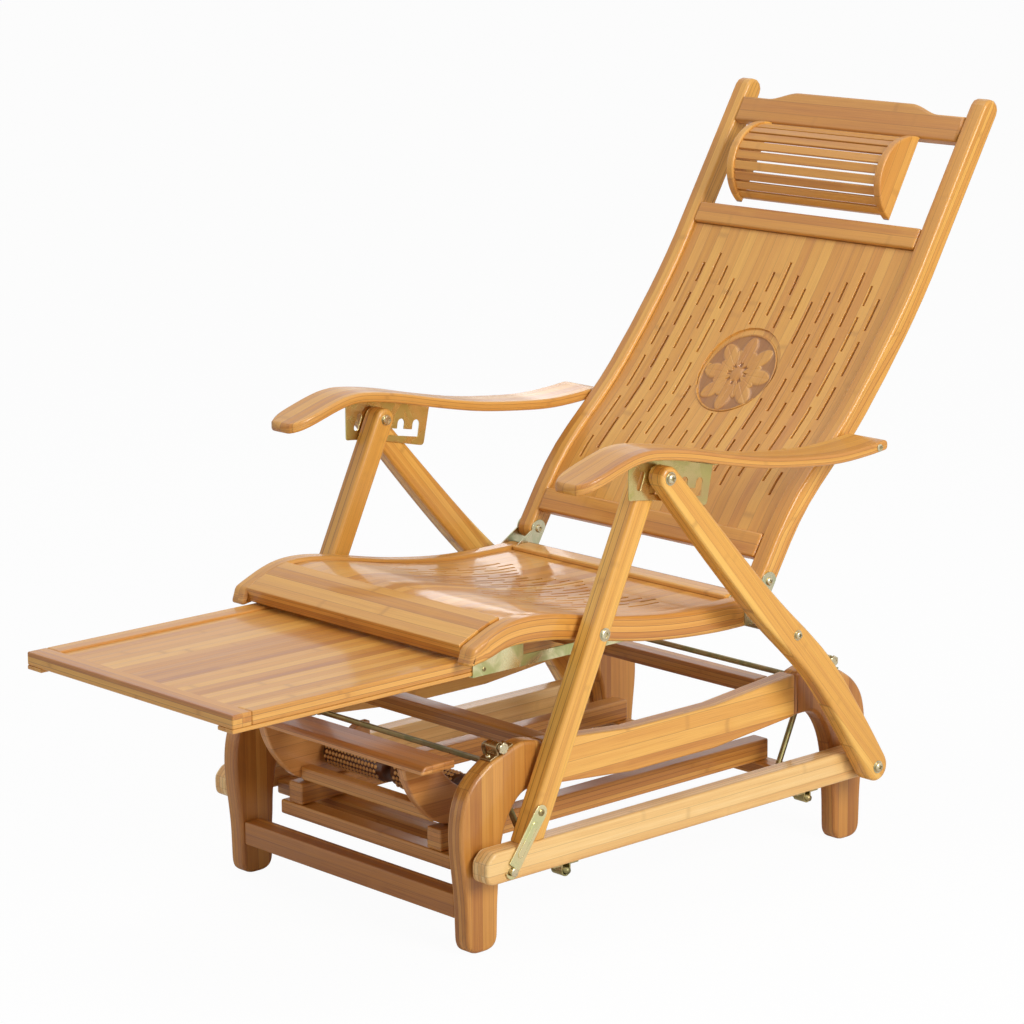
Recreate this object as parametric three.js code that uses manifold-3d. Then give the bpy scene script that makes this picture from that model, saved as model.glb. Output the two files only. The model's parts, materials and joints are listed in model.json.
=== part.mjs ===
// Folding bamboo recliner that glides on two hung rods, with a slatted headrest, curved arms,
// a footrest that slides out from under the seat and a foot roller tray.
// Millimetres, +Z up, front towards -Y, the sitter's right-hand side at +X, floor at Z = 0.
import * as THREE from 'three';
import Module from 'manifold-3d';
import { mergeVertices } from 'three/addons/utils/BufferGeometryUtils.js';

const wasm = await Module();
wasm.setup();

// Fits shared by all pieces
const gap = 0.3;
const overrun = 5;
const roundSteps = 12;
const sides = [['left', -1], ['right', 1]];
const ends = [['front', -1], ['rear', 1]];

// Base side frames: X places, reach from the middle of the glide, and heights
const glideMiddle = 8;
const frameInner = 230;
const frameThick = 30;
const baseReach = 406;
const baseHeight = 282;
const footInset = 29;
const footReach = baseReach - footInset;
const footFlat = 30;
const legJointInset = 156;
const legJointReach = baseReach - legJointInset;
const beamTop = 276;
const beamDepth = 63;
const beamSag = 17;
const crestShare = 1.7;
const legOuterShares = [[0.98, 0.294], [1, 0.57], [0.985, 0.752], [0.936, 0.862]];
const legInnerShares = [[0.72, 0.745], [0.79, 0.62], [0.823, 0.443], [0.836, 0.21]];

// Cross bars of the base
const lowBarInset = 28;
const lowBarReach = baseReach - lowBarInset;
const lowBarDepth = 30;
const lowBarHeight = 35;
const lowBarBottom = 47;
const highBarInsets = { front: 178, rear: 196 };
const highBarDepth = 30;
const highBarHeight = 23;
const highBarTop = 273;

// Rod bails and their saddle clamps
const pivotInset = 76;
const upperPivotReach = baseReach - pivotInset;
const upperPivotHeight = 282;
const bailLean = 87;
const lowerPivotReach = upperPivotReach - bailLean;
const shoulderTilt = THREE.MathUtils.degToRad(20);
const shoulderHalf = 25;
const rodRadius = 4.5;
const rodSides = 10;
const rodBend = 11;
const bailInset = 10;
const bailStubReach = 262;
const crossRodDrop = 36;
const crossRodShare = 0.96;
const clampRise = 10;
const clampWide = 22;
const clampPlate = 2.5;
const clampFoot = 15;
const clampPlay = 0.4;
const looseClampPlay = 1.6;

// Swing frame under the seat
const runnerInner = 266;
const runnerThick = 32;
const runnerDepth = 45;
const runnerBottom = 107;
const runnerFront = -385;
const runnerRear = 382;
const runnerCorner = 14;
const swingBarAhead = 43;
const swingBarReach = lowerPivotReach + swingBarAhead;
const swingBarDepth = 32;
const swingBarHeight = 21;
const swingBarSink = 9;
const trayRailInner = 136;
const trayRailThick = 30;
const trayRailHeight = 32;
const trayRailAhead = 22;
const trayRailFront = -upperPivotReach - trayRailAhead;
const trayRailRear = 302;
const tieBarHalf = 185;
const tieBarDepth = 28;
const tieBarHeight = 21;

// Foot roller tray
const trayBoardHalf = 205;
const trayBoardAhead = 66;
const trayBoardFront = trayRailFront - trayBoardAhead;
const trayBoardDepth = 60;
const trayBoardThick = 12;
const trayBoardTop = 262;
const trayBoardEdge = 6;
const cheekInner = 143;
const cheekThick = 16;
const cheekLength = 203;
const cheekRear = trayBoardFront + cheekLength;
const cheekCurveShares = [[0, 1], [0.06, 0.74], [0.2, 0.42], [0.42, 0.12], [0.66, 0]];
const cheekCurveRun = 134;
const cheekDipDepth = 48;
const cheekRearDrop = 32;
const trayTieDepth = 20;
const trayTieHeight = 20;
const trayTieSetback = 4;
const trayTieFront = trayRailFront + trayTieSetback;
const rollerRadius = 24;
const rollerBeads = 5;
const rollerWaist = 4;
const rollerSetback = 129;
const rollerY = trayBoardFront + rollerSetback;
const rollerHeight = 190;
const rollerSplit = 10;
const rollerPlay = 4;
const axleRadius = 5;

// Rear legs and posts, which cross under the arms
const crossPivotY = -72;
const crossPivotZ = 628;
const legPivotY = 361;
const rearLegInner = 302;
const rearLegThick = 30;
const rearLegTopWidth = 34;
const rearLegWidth = 45;
const rearLegBowShares = [[0.134, 0.018], [0.326, 0.033], [0.547, 0.0114], [0.76, 0.003]];
const postWidth = 34;
const postFootY = -298;
const hubRadius = 9;
const restRodY = 185;
const restRodRadius = 5;

// Latch links that hook the posts to the runners
const linkThick = 2;
const linkPivotY = -288;
const linkPivotZ = 193;
const linkStudY = -342;
const linkStudZ = 121;
const linkEndRadius = 11;
const linkPlay = 1;
const studRadius = 5;
const studLength = 8;

// Seat
const seatInner = 229;
const seatThick = 30;
const seatFront = -378;
const seatDepth = 558;
const seatRear = seatFront + seatDepth;
const seatLow = 367;
const seatRise = 88;
const seatTopShares = [[0.015, 0.68], [0.106, 0.92], [0.185, 1], [0.29, 0.943], [0.505, 0.659],
  [0.703, 0.489], [0.85, 0.455], [1, 0.455]];
const seatUnderShares = [[1, 0], [0.85, 0], [0.629, 0.114], [0.415, 0.364], [0.277, 0.534],
  [0.139, 0.59], [0.073, 0.477], [0, 0.4]];
const seatPivotY = -165;
const seatPivotZ = 419;
const seatPanelThick = 8;
const seatPanelRecess = 5;
const seatBarThick = 20;
const seatBarProud = 2;
const frontBarShare = 0.14;
const rearBarShare = 0.935;
const seatSlotRows = {
  pitch: 17,
  width: 4,
  columns: 10,
  peak: 9,
  length: 58,
  web: 22,
  step: 11.5,
  top: 66,
  bottom: 330,
  merge: 20,
};

// Footrest and its slide angles
const footrestFront = -753;
const footrestLength = 432;
const footrestTop = 405;
const footrestThick = 19;
const footrestRail = 32;
const footrestPanelThick = 12;
const footrestPanelRecess = 3;
const footrestPlay = 0.5;
const footrestTail = 58;
const footrestTailHeight = 11;
const slideTop = 394;
const slideHeight = 16;
const slidePlate = 2;
const slideFlange = 14;
const slideFront = -345;
const slideRear = 30;
const slideTabLength = 22;
const slideTabShare = 0.62;

// Back
const hingeBehind = 20;
const backPivotY = seatRear + hingeBehind;
const backPivotZ = 426;
const backRun = 477;
const backRise = 642;
const backShares = [[0, 0], [0.147, 0.162], [0.398, 0.343], [0.651, 0.579], [0.864, 0.833], [1, 1]];
const backDepth = 33;
const backPanelThick = 10;
const backPanelRecess = 7;
const backSlotRows = {
  pitch: 25,
  width: 4.5,
  columns: 8,
  peak: 6,
  length: 60,
  web: 20,
  step: 20,
  top: 46,
  bottom: 460,
  merge: 25,
};
const medallionDrop = 238;
const medallionRadius = 75;
const medallionDepth = 3;
const medallionMargin = 8;
const backBarThick = 20;
const backBarProud = 1;
const lowerBackBarShare = 0.056;
const lowerBackBarHeight = 38;
const upperBackBarShare = 0.723;
const upperBackBarHeight = 34;
const topRailShare = 0.94;
const topRailHeight = 42;
const topRailCrown = 14;
const topRailCrownHalf = 124;
const topRailShoulder = 52;

// Headrest
const headrestHalf = 160;
const headrestDisc = 14;
const headrestDepth = 52;
const headrestSlats = 10;
const headrestSlatWide = 13;
const headrestSlatThick = 5;

// Hinges between seat and back
const hingePlate = 2;
const hingeForward = 30;
const hingeEyeRadius = 14;
const hingeTopShare = 0.42;

// Arms and their slotted brackets
const armInner = 268;
const armWide = 72;
const armOuter = armInner + armWide;
const armRearInner = 262;
const armFrontY = -240;
const armRun = 600;
const armLowZ = 608.5;
const armRise = 58;
const armThick = 15;
const armNoseShare = 0.42;
const armNoseLengthShare = 0.63;
const armWaistShare = 0.6;
const armShares = [[0, 0.45], [0.078, 0.71], [0.155, 0.95], [0.216, 1], [0.328, 0.83], [0.457, 0.53],
  [0.6, 0.24], [0.741, 0.07], [0.845, 0], [0.948, 0.05], [1, 0.11]];
const armPivotShare = 0.977;
const armHubRadius = 6;
const bracketThick = 2;
const bracketFront = -122;
const bracketDepth = 60;
const bracketFlange = 12;
const notchCount = 4;
const notchPitch = 30;
const bracketLengthShare = 5.5;
const bracketLength = bracketLengthShare * notchPitch;
const notchRadius = 6;
const notchTilt = THREE.MathUtils.degToRad(-10);
const slotHigh = 10;
const slotEnd = 12;
const slotLip = 2;
const stepShare = 0.002;

// Finishes
const bamboo = new THREE.MeshStandardMaterial({ color: 0xc28648, roughness: 0.5, metalness: 0 });
const darkBamboo = new THREE.MeshStandardMaterial({ color: 0x8a5426, roughness: 0.5, metalness: 0 });
const brass = new THREE.MeshStandardMaterial({ color: 0xc9a24d, roughness: 0.35, metalness: 0.9 });
const zinc = new THREE.MeshStandardMaterial({ color: 0xb4b6b8, roughness: 0.35, metalness: 0.9 });

const point = (y, z) => new THREE.Vector2(y, z);
const spanOf = (side, inner, outer) => (side > 0 ? [inner, outer] : [-outer, -inner]);
const spread = (shares, y, z, run, rise) => shares.map(([a, b]) => point(y + a * run, z + b * rise));

// The side view plane: shape x runs along Y, shape y along Z, and the extrusion along X
const sideView = new THREE.Matrix4().makeBasis(
  new THREE.Vector3(0, 1, 0),
  new THREE.Vector3(0, 0, 1),
  new THREE.Vector3(1, 0, 0),
);

// A board cut to a side view outline, from one X to another
function board(outline, [low, high], curveSegments = 3) {
  const geometry = new THREE.ExtrudeGeometry(outline, { depth: high - low, bevelEnabled: false, curveSegments });
  return geometry.applyMatrix4(sideView).translate(low, 0, 0);
}

// A box between two corners
function block([x0, x1], [y0, y1], [z0, z1]) {
  const geometry = new THREE.BoxGeometry(x1 - x0, y1 - y0, z1 - z0);
  return geometry.translate((x0 + x1) / 2, (y0 + y1) / 2, (z0 + z1) / 2);
}

// A round bar along X
function pin([x0, x1], y, z, radius, count = roundSteps) {
  const geometry = new THREE.CylinderGeometry(radius, radius, x1 - x0, count);
  return geometry.rotateZ(Math.PI / 2).translate((x0 + x1) / 2, y, z);
}

function solid(geometry) {
  const bare = geometry.clone();
  bare.deleteAttribute('normal');
  bare.deleteAttribute('uv');
  const shared = mergeVertices(bare);
  return new wasm.Manifold(new wasm.Mesh({
    numProp: 3,
    vertProperties: shared.attributes.position.array,
    triVerts: Uint32Array.from(shared.index.array),
  }));
}

function surface(body) {
  const mesh = body.getMesh();
  const geometry = new THREE.BufferGeometry();
  geometry.setAttribute('position', new THREE.BufferAttribute(mesh.vertProperties, 3));
  geometry.setIndex(new THREE.BufferAttribute(mesh.triVerts, 1));
  return geometry;
}

const fused = (first, ...others) => surface(others.reduce((body, next) => body.add(solid(next)), solid(first)));
const cut = (first, ...others) => surface(others.reduce((body, next) => body.subtract(solid(next)), solid(first)));

const recliner = new THREE.Group();

function piece(name, geometry, material) {
  const mesh = new THREE.Mesh(geometry, material);
  mesh.name = name;
  recliner.add(mesh);
  return mesh;
}

// Points of a strip that lies between two offsets from a curve
function stripPoints(curve, from, to, nearOffset, farOffset, steps) {
  const near = [];
  const far = [];
  for (let i = 0; i <= steps; i += 1) {
    const share = from + ((to - from) * i) / steps;
    const centre = curve.getPointAt(share);
    const along = curve.getTangentAt(share);
    const across = point(-along.y, along.x);
    near.push(centre.clone().addScaledVector(across, nearOffset));
    far.unshift(centre.clone().addScaledVector(across, farOffset));
  }
  return { near, far };
}

function strip(curve, from, to, nearOffset, farOffset, steps) {
  const { near, far } = stripPoints(curve, from, to, nearOffset, farOffset, steps);
  return new THREE.Shape([...near, ...far]);
}

// A limb along a curve, with its width given by a function and its ends rounded
function limb(curve, widthAt, steps, roundStart = true, roundEnd = true) {
  const outline = [];
  const back = [];
  for (let i = 0; i <= steps; i += 1) {
    const share = i / steps;
    const centre = curve.getPointAt(share);
    const along = curve.getTangentAt(share);
    const across = point(-along.y, along.x);
    const half = widthAt(share) / 2;
    outline.push(centre.clone().addScaledVector(across, half));
    back.unshift(centre.clone().addScaledVector(across, -half));
  }
  const cap = (share, heading) => {
    const centre = curve.getPointAt(share);
    const along = curve.getTangentAt(share).multiplyScalar(heading);
    const half = widthAt(share) / 2;
    const arc = [];
    for (let i = 1; i < roundSteps / 2; i += 1) {
      const angle = Math.PI / 2 - (Math.PI * i) / (roundSteps / 2);
      const across = point(-along.y, along.x);
      arc.push(centre.clone()
        .addScaledVector(across, half * Math.sin(angle))
        .addScaledVector(along, half * Math.cos(angle)));
    }
    return arc;
  };
  const endCap = roundEnd ? cap(1, 1) : [];
  const startCap = roundStart ? cap(0, -1) : [];
  return new THREE.Shape([...outline, ...endCap, ...back, ...startCap]);
}

// A round rod bent in one plane through corner points, with the same bend at each corner
function bentRod(corners, radius, bend, planeNormal) {
  const stations = [];
  corners.forEach((corner, i) => {
    const before = i > 0 ? corner.clone().sub(corners[i - 1]).normalize() : null;
    const after = i < corners.length - 1 ? corners[i + 1].clone().sub(corner).normalize() : null;
    if (!before || !after) {
      stations.push([corner, before || after]);
      return;
    }
    const turn = before.angleTo(after);
    const inward = after.clone().addScaledVector(before, -Math.cos(turn)).normalize();
    const start = corner.clone().addScaledVector(before, -bend * Math.tan(turn / 2));
    const centre = start.clone().addScaledVector(inward, bend);
    const steps = 4;
    for (let k = 0; k <= steps; k += 1) {
      const angle = (turn * k) / steps;
      const spot = centre.clone()
        .addScaledVector(inward, -bend * Math.cos(angle))
        .addScaledVector(before, bend * Math.sin(angle));
      const heading = before.clone().multiplyScalar(Math.cos(angle)).addScaledVector(inward, Math.sin(angle));
      stations.push([spot, heading]);
    }
  });
  const places = [];
  stations.forEach(([spot, heading]) => {
    const up = new THREE.Vector3().crossVectors(heading, planeNormal);
    for (let k = 0; k < rodSides; k += 1) {
      const angle = (2 * Math.PI * k) / rodSides;
      const ring = spot.clone()
        .addScaledVector(planeNormal, radius * Math.cos(angle))
        .addScaledVector(up, radius * Math.sin(angle));
      places.push(...ring.toArray());
    }
  });
  const faces = [];
  for (let s = 0; s < stations.length - 1; s += 1) {
    for (let k = 0; k < rodSides; k += 1) {
      const a = s * rodSides + k;
      const b = s * rodSides + ((k + 1) % rodSides);
      faces.push(a, b, b + rodSides, a, b + rodSides, a + rodSides);
    }
  }
  const last = (stations.length - 1) * rodSides;
  for (let k = 1; k < rodSides - 1; k += 1) {
    faces.push(0, k + 1, k, last, last + k, last + k + 1);
  }
  const geometry = new THREE.BufferGeometry();
  geometry.setAttribute('position', new THREE.Float32BufferAttribute(places, 3));
  geometry.setIndex(faces);
  return geometry;
}

// Base side frames: a leg at each end and a sagging beam between them
const shoulderY = upperPivotReach - clampRise * Math.sin(shoulderTilt);
const shoulderZ = upperPivotHeight - clampRise * Math.cos(shoulderTilt);

function baseLegOutline(end) {
  const at = (reach, height) => point(glideMiddle + end * reach, height);
  const through = (shares) => shares.map(([a, b]) => at(a * baseReach, b * baseHeight));
  const seatOut = shoulderHalf * Math.cos(shoulderTilt);
  const seatDown = shoulderHalf * Math.sin(shoulderTilt);
  const crest = at(shoulderY - crestShare * seatOut, shoulderZ + crestShare * seatDown);
  const jointTop = at(legJointReach + gap / 2, beamTop);
  const shape = new THREE.Shape();
  shape.moveTo(...at(footReach - footFlat / 2, 0));
  shape.lineTo(...at(footReach + footFlat / 2, 0));
  shape.splineThru([...through(legOuterShares), at(shoulderY + seatOut, shoulderZ - seatDown)]);
  shape.lineTo(...at(shoulderY - seatOut, shoulderZ + seatDown));
  shape.quadraticCurveTo(...crest, ...jointTop);
  shape.lineTo(...at(legJointReach + gap / 2, beamTop - beamDepth));
  shape.splineThru([...through(legInnerShares), at(footReach - footFlat / 2, 0)]);
  return shape;
}

function beamOutline() {
  const half = legJointReach - gap / 2;
  const shape = new THREE.Shape();
  shape.moveTo(glideMiddle - half, beamTop);
  shape.quadraticCurveTo(glideMiddle, beamTop - 2 * beamSag, glideMiddle + half, beamTop);
  shape.lineTo(glideMiddle + half, beamTop - beamDepth);
  shape.quadraticCurveTo(glideMiddle, beamTop - beamDepth - 2 * beamSag, glideMiddle - half, beamTop - beamDepth);
  return shape;
}

for (const [sideName, side] of sides) {
  const span = spanOf(side, frameInner, frameInner + frameThick);
  for (const [endName, end] of ends) {
    piece(`base_leg_${endName}_${sideName}`, board(baseLegOutline(end), span), bamboo);
  }
  piece(`base_beam_${sideName}`, board(beamOutline(), span), bamboo);
}

// Cross bars of the base: one low between the front feet, and two high between the beams
const baseInside = [-frameInner + gap, frameInner - gap];
function baseBar(name, reach, depth, low, height) {
  const middle = glideMiddle + reach;
  piece(name, block(baseInside, [middle - depth / 2, middle + depth / 2], [low, low + height]), bamboo);
}
baseBar('base_low_bar', -lowBarReach, lowBarDepth, lowBarBottom, lowBarHeight);
for (const [endName, end] of ends) {
  const reach = end * (baseReach - highBarInsets[endName]);
  baseBar(`base_high_bar_${endName}`, reach, highBarDepth, highBarTop - highBarHeight, highBarHeight);
}

// Saddle clamp: a strap bent over the rod, with a flat foot on each side, resting on the wood
function clampOutline(play) {
  const inner = rodRadius + play;
  const outer = inner + clampPlate;
  const ground = -clampRise + gap;
  const shape = new THREE.Shape();
  shape.moveTo(-outer - clampFoot, ground);
  shape.lineTo(-inner, ground);
  shape.lineTo(-inner, 0);
  shape.absarc(0, 0, inner, Math.PI, 0, true);
  shape.lineTo(inner, ground);
  shape.lineTo(outer + clampFoot, ground);
  shape.lineTo(outer + clampFoot, ground + clampPlate);
  shape.lineTo(outer, ground + clampPlate);
  shape.lineTo(outer, 0);
  shape.absarc(0, 0, outer, 0, Math.PI, false);
  shape.lineTo(-outer, ground + clampPlate);
  shape.lineTo(-outer - clampFoot, ground + clampPlate);
  return shape;
}

const lowerPivotHeight = runnerBottom - clampRise;
for (const [sideName, side] of sides) {
  for (const [endName, end] of ends) {
    const clamp = (play) => board(clampOutline(play), [-clampWide / 2, clampWide / 2], roundSteps / 2);
    const upperMiddle = side * (frameInner + frameThick / 2);
    const upper = piece(`upper_clamp_${endName}_${sideName}`, clamp(clampPlay), brass);
    upper.position.set(upperMiddle, glideMiddle + end * upperPivotReach, upperPivotHeight);
    upper.rotation.x = -end * shoulderTilt;
    const lowerPlay = end < 0 ? looseClampPlay : clampPlay;
    const lower = piece(`lower_clamp_${endName}_${sideName}`, clamp(lowerPlay), brass);
    const lowerMiddle = side * (runnerInner + runnerThick / 2);
    lower.position.set(lowerMiddle, glideMiddle + end * lowerPivotReach, lowerPivotHeight);
    lower.rotation.x = Math.PI;
  }
}

// Bails: two bent hanger rods joined by a welded cross rod
for (const [endName, end] of ends) {
  const top = point(glideMiddle + end * upperPivotReach, upperPivotHeight);
  const foot = point(glideMiddle + end * lowerPivotReach, lowerPivotHeight);
  const fall = foot.clone().sub(top).normalize();
  const hang = frameInner - bailInset;
  const lowReach = runnerInner + runnerThick - gap;
  const hangers = sides.map(([, side]) => {
    const corners = [
      new THREE.Vector3(side * bailStubReach, top.x, top.y),
      new THREE.Vector3(side * hang, top.x, top.y),
      new THREE.Vector3(side * hang, foot.x, foot.y),
      new THREE.Vector3(side * lowReach, foot.x, foot.y),
    ];
    return bentRod(corners, rodRadius, rodBend, new THREE.Vector3(0, -fall.y, fall.x));
  });
  const weld = top.clone().addScaledVector(fall, crossRodDrop);
  const cross = pin([-hang, hang], weld.x, weld.y, rodRadius * crossRodShare, rodSides);
  piece(`bail_${endName}`, fused(hangers[0], hangers[1], cross), brass);
}

// Swing frame: two runners, two cross bars under them, and rails for the tray
const runnerTop = runnerBottom + runnerDepth;
for (const [sideName, side] of sides) {
  const shape = new THREE.Shape();
  shape.moveTo(runnerFront, runnerBottom + runnerCorner);
  shape.quadraticCurveTo(runnerFront, runnerBottom, runnerFront + runnerCorner, runnerBottom);
  shape.lineTo(runnerRear - runnerCorner, runnerBottom);
  shape.quadraticCurveTo(runnerRear, runnerBottom, runnerRear, runnerBottom + runnerCorner);
  shape.lineTo(runnerRear, runnerTop - runnerCorner);
  shape.quadraticCurveTo(runnerRear, runnerTop, runnerRear - runnerCorner, runnerTop);
  shape.lineTo(runnerFront + runnerCorner, runnerTop);
  shape.lineTo(runnerFront, runnerTop - runnerCorner);
  const body = board(shape, spanOf(side, runnerInner, runnerInner + runnerThick));
  const studSpan = spanOf(side, runnerInner + runnerThick - overrun, runnerInner + runnerThick + studLength);
  piece(`runner_${sideName}`, fused(body, pin(studSpan, linkStudY, linkStudZ, studRadius)), bamboo);
}

const swingBarBottom = runnerBottom - swingBarSink;
const swingBarTop = swingBarBottom + swingBarHeight;
for (const [endName, end] of ends) {
  const middle = glideMiddle + end * swingBarReach;
  const depthSpan = [middle - swingBarDepth / 2, middle + swingBarDepth / 2];
  const across = [-runnerInner + gap, runnerInner - gap];
  piece(`swing_bar_${endName}`, block(across, depthSpan, [swingBarBottom, swingBarTop]), bamboo);
}

const trayRailBottom = swingBarTop + gap;
const trayRailTop = trayRailBottom + trayRailHeight;
for (const [sideName, side] of sides) {
  const span = spanOf(side, trayRailInner, trayRailInner + trayRailThick);
  const rail = block(span, [trayRailFront, trayRailRear], [trayRailBottom, trayRailTop]);
  piece(`tray_rail_${sideName}`, rail, bamboo);
}
const tieBarSpan = [trayRailFront, trayRailFront + tieBarDepth];
const tieBarTop = trayRailBottom - gap;
piece('tray_rail_tie', block([-tieBarHalf, tieBarHalf], tieBarSpan, [tieBarTop - tieBarHeight, tieBarTop]), bamboo);

// Tray: a chamfered front board on two curved cheeks, tied low down, with rollers between
const cheekBottom = trayRailTop + gap;
const cheekTop = trayBoardTop - trayBoardThick - gap;
const trayBoardRear = trayBoardFront + trayBoardDepth;

function trayBoardOutline() {
  const shape = new THREE.Shape();
  shape.moveTo(trayBoardFront, trayBoardTop - trayBoardThick);
  shape.lineTo(trayBoardRear, trayBoardTop - trayBoardThick);
  shape.lineTo(trayBoardRear, trayBoardTop);
  shape.lineTo(trayBoardFront + trayBoardEdge, trayBoardTop);
  shape.lineTo(trayBoardFront, trayBoardTop - trayBoardEdge);
  return shape;
}

function cheekOutline() {
  const front = trayBoardFront + trayBoardEdge;
  const curve = spread(cheekCurveShares, front, cheekBottom, cheekCurveRun, cheekTop - cheekBottom);
  const shape = new THREE.Shape();
  shape.moveTo(...curve[0]);
  shape.splineThru(curve.slice(1));
  shape.lineTo(cheekRear, cheekBottom);
  shape.lineTo(cheekRear, cheekTop - cheekRearDrop);
  shape.lineTo(cheekRear - trayTieDepth, cheekTop - cheekRearDrop);
  shape.quadraticCurveTo(rollerY, cheekTop - 2 * cheekDipDepth, trayBoardRear, cheekTop);
  return shape;
}

piece('tray_board', board(trayBoardOutline(), [-trayBoardHalf, trayBoardHalf]), bamboo);
for (const [sideName, side] of sides) {
  const span = spanOf(side, cheekInner, cheekInner + cheekThick);
  piece(`tray_cheek_${sideName}`, board(cheekOutline(), span), bamboo);
}
const trayTieSpan = [-cheekInner + gap, cheekInner - gap];
const trayTieLow = cheekBottom + trayTieHeight / 4;
piece('tray_tie', block(
  trayTieSpan,
  [trayTieFront, trayTieFront + trayTieDepth],
  [trayTieLow, trayTieLow + trayTieHeight],
), bamboo);

// Rollers: turned beads on stub axles, one for each foot
function rollerGeometry(length) {
  const profile = [new THREE.Vector2(0, -length / 2)];
  profile.push(new THREE.Vector2(axleRadius, -length / 2));
  const body = length - 2 * rollerPlay;
  profile.push(new THREE.Vector2(axleRadius, -body / 2));
  const steps = rollerBeads * 4;
  for (let i = 0; i <= steps; i += 1) {
    const swell = Math.abs(Math.sin((Math.PI * rollerBeads * i) / steps));
    profile.push(new THREE.Vector2(rollerRadius - rollerWaist * (1 - swell), -body / 2 + (body * i) / steps));
  }
  profile.push(new THREE.Vector2(axleRadius, body / 2));
  profile.push(new THREE.Vector2(axleRadius, length / 2));
  profile.push(new THREE.Vector2(0, length / 2));
  return new THREE.LatheGeometry(profile, roundSteps);
}

const rollerLength = cheekInner - gap - rollerSplit / 2;
for (const [sideName, side] of sides) {
  const roller = piece(`roller_${sideName}`, rollerGeometry(rollerLength), darkBamboo);
  roller.rotation.z = Math.PI / 2;
  roller.position.set(side * (rollerSplit / 2 + rollerLength / 2), rollerY, rollerHeight);
}

// Rear legs: bowed limbs from the runners' rear up to the crossing under the arms
const legPivotZ = runnerBottom + runnerDepth / 2;
const crossPivot = point(crossPivotY, crossPivotZ);
const legPivot = point(legPivotY, legPivotZ);

function rearLegCurve() {
  const line = crossPivot.clone().sub(legPivot);
  const length = line.length();
  const along = line.clone().normalize();
  const outward = point(along.y, -along.x);
  const bowed = rearLegBowShares.map(([run, bow]) => legPivot.clone()
    .addScaledVector(along, run * length)
    .addScaledVector(outward, bow * length));
  return new THREE.SplineCurve([legPivot, ...bowed, crossPivot]);
}

const rearLegWidthAt = (share) => THREE.MathUtils.lerp(rearLegWidth, rearLegTopWidth, share ** 3);
for (const [sideName, side] of sides) {
  const leg = board(limb(rearLegCurve(), rearLegWidthAt, roundSteps), spanOf(side, rearLegInner, rearLegInner + rearLegThick));
  const hub = pin(spanOf(side, runnerInner + runnerThick + gap, rearLegInner + overrun), legPivotY, legPivotZ, hubRadius);
  piece(`rear_leg_${sideName}`, fused(leg, hub), bamboo);
}
const restRodZ = seatLow - gap - restRodRadius;
piece('rest_rod', pin([-rearLegInner + gap, rearLegInner - gap], restRodY, restRodZ, restRodRadius), zinc);

// Posts: from their cut feet on the runners up to the same crossing
const postFoot = point(postFootY, runnerTop + gap);
const postLean = crossPivot.clone().sub(postFoot).normalize();
for (const [sideName, side] of sides) {
  const halfFoot = postWidth / 2 / postLean.y;
  const lean = Math.atan2(postLean.y, postLean.x);
  const shape = new THREE.Shape();
  shape.moveTo(postFoot.x - halfFoot, postFoot.y);
  shape.lineTo(postFoot.x + halfFoot, postFoot.y);
  shape.absarc(crossPivotY, crossPivotZ, postWidth / 2, lean - Math.PI / 2, lean + Math.PI / 2, false);
  const post = board(shape, spanOf(side, runnerInner, runnerInner + runnerThick), roundSteps / 2);
  const hub = pin(spanOf(side, seatInner + seatThick + gap, runnerInner + overrun), seatPivotY, seatPivotZ, hubRadius);
  piece(`post_${sideName}`, fused(post, hub), bamboo);
}

// Latch links: flat plates hung on the posts, hooked over the runners' studs
for (const [sideName, side] of sides) {
  const near = runnerInner + runnerThick + linkPlay;
  const span = spanOf(side, near, near + linkThick);
  const cutSpan = spanOf(side, near - overrun, near + linkThick + overrun);
  const line = new THREE.LineCurve(point(linkPivotY, linkPivotZ), point(linkStudY, linkStudZ));
  const plate = board(limb(line, () => 2 * linkEndRadius, 1), span);
  const eye = pin(cutSpan, linkStudY, linkStudZ, studRadius + linkPlay);
  const along = line.getTangent(0);
  const out = point(along.y, -along.x).multiplyScalar(2 * linkEndRadius);
  const lip = along.clone().multiplyScalar(studRadius + linkPlay);
  const stud = point(linkStudY, linkStudZ);
  const mouthOutline = new THREE.Shape([
    stud.clone().add(lip),
    stud.clone().add(lip).add(out),
    stud.clone().sub(lip).add(out),
    stud.clone().sub(lip),
  ]);
  const mouth = board(mouthOutline, cutSpan);
  piece(`latch_link_${sideName}`, cut(plate, eye, mouth), zinc);
}

// Slot ends of one column, as distances from the panel's rear or upper bar. The ends of the columns
// rise to a peak at the middle and at each side, and every second column is staggered by half a step.
function slotRuns(rows, column) {
  const place = Math.abs(column);
  const fromPeak = Math.min(place, Math.abs(place - rows.peak));
  const top = rows.top + rows.step * fromPeak;
  const bottom = rows.bottom - rows.step * Math.max(rows.peak / 2 - fromPeak, 0);
  const period = rows.length + rows.web;
  const runs = [];
  const phase = place % 2 ? period / 2 : 0;
  for (let start = phase; start < bottom - rows.merge; start += period) {
    const end = start + rows.length;
    if (end >= top + rows.merge) runs.push([runs.length ? start : top, Math.min(end, bottom)]);
  }
  return runs;
}

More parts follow.
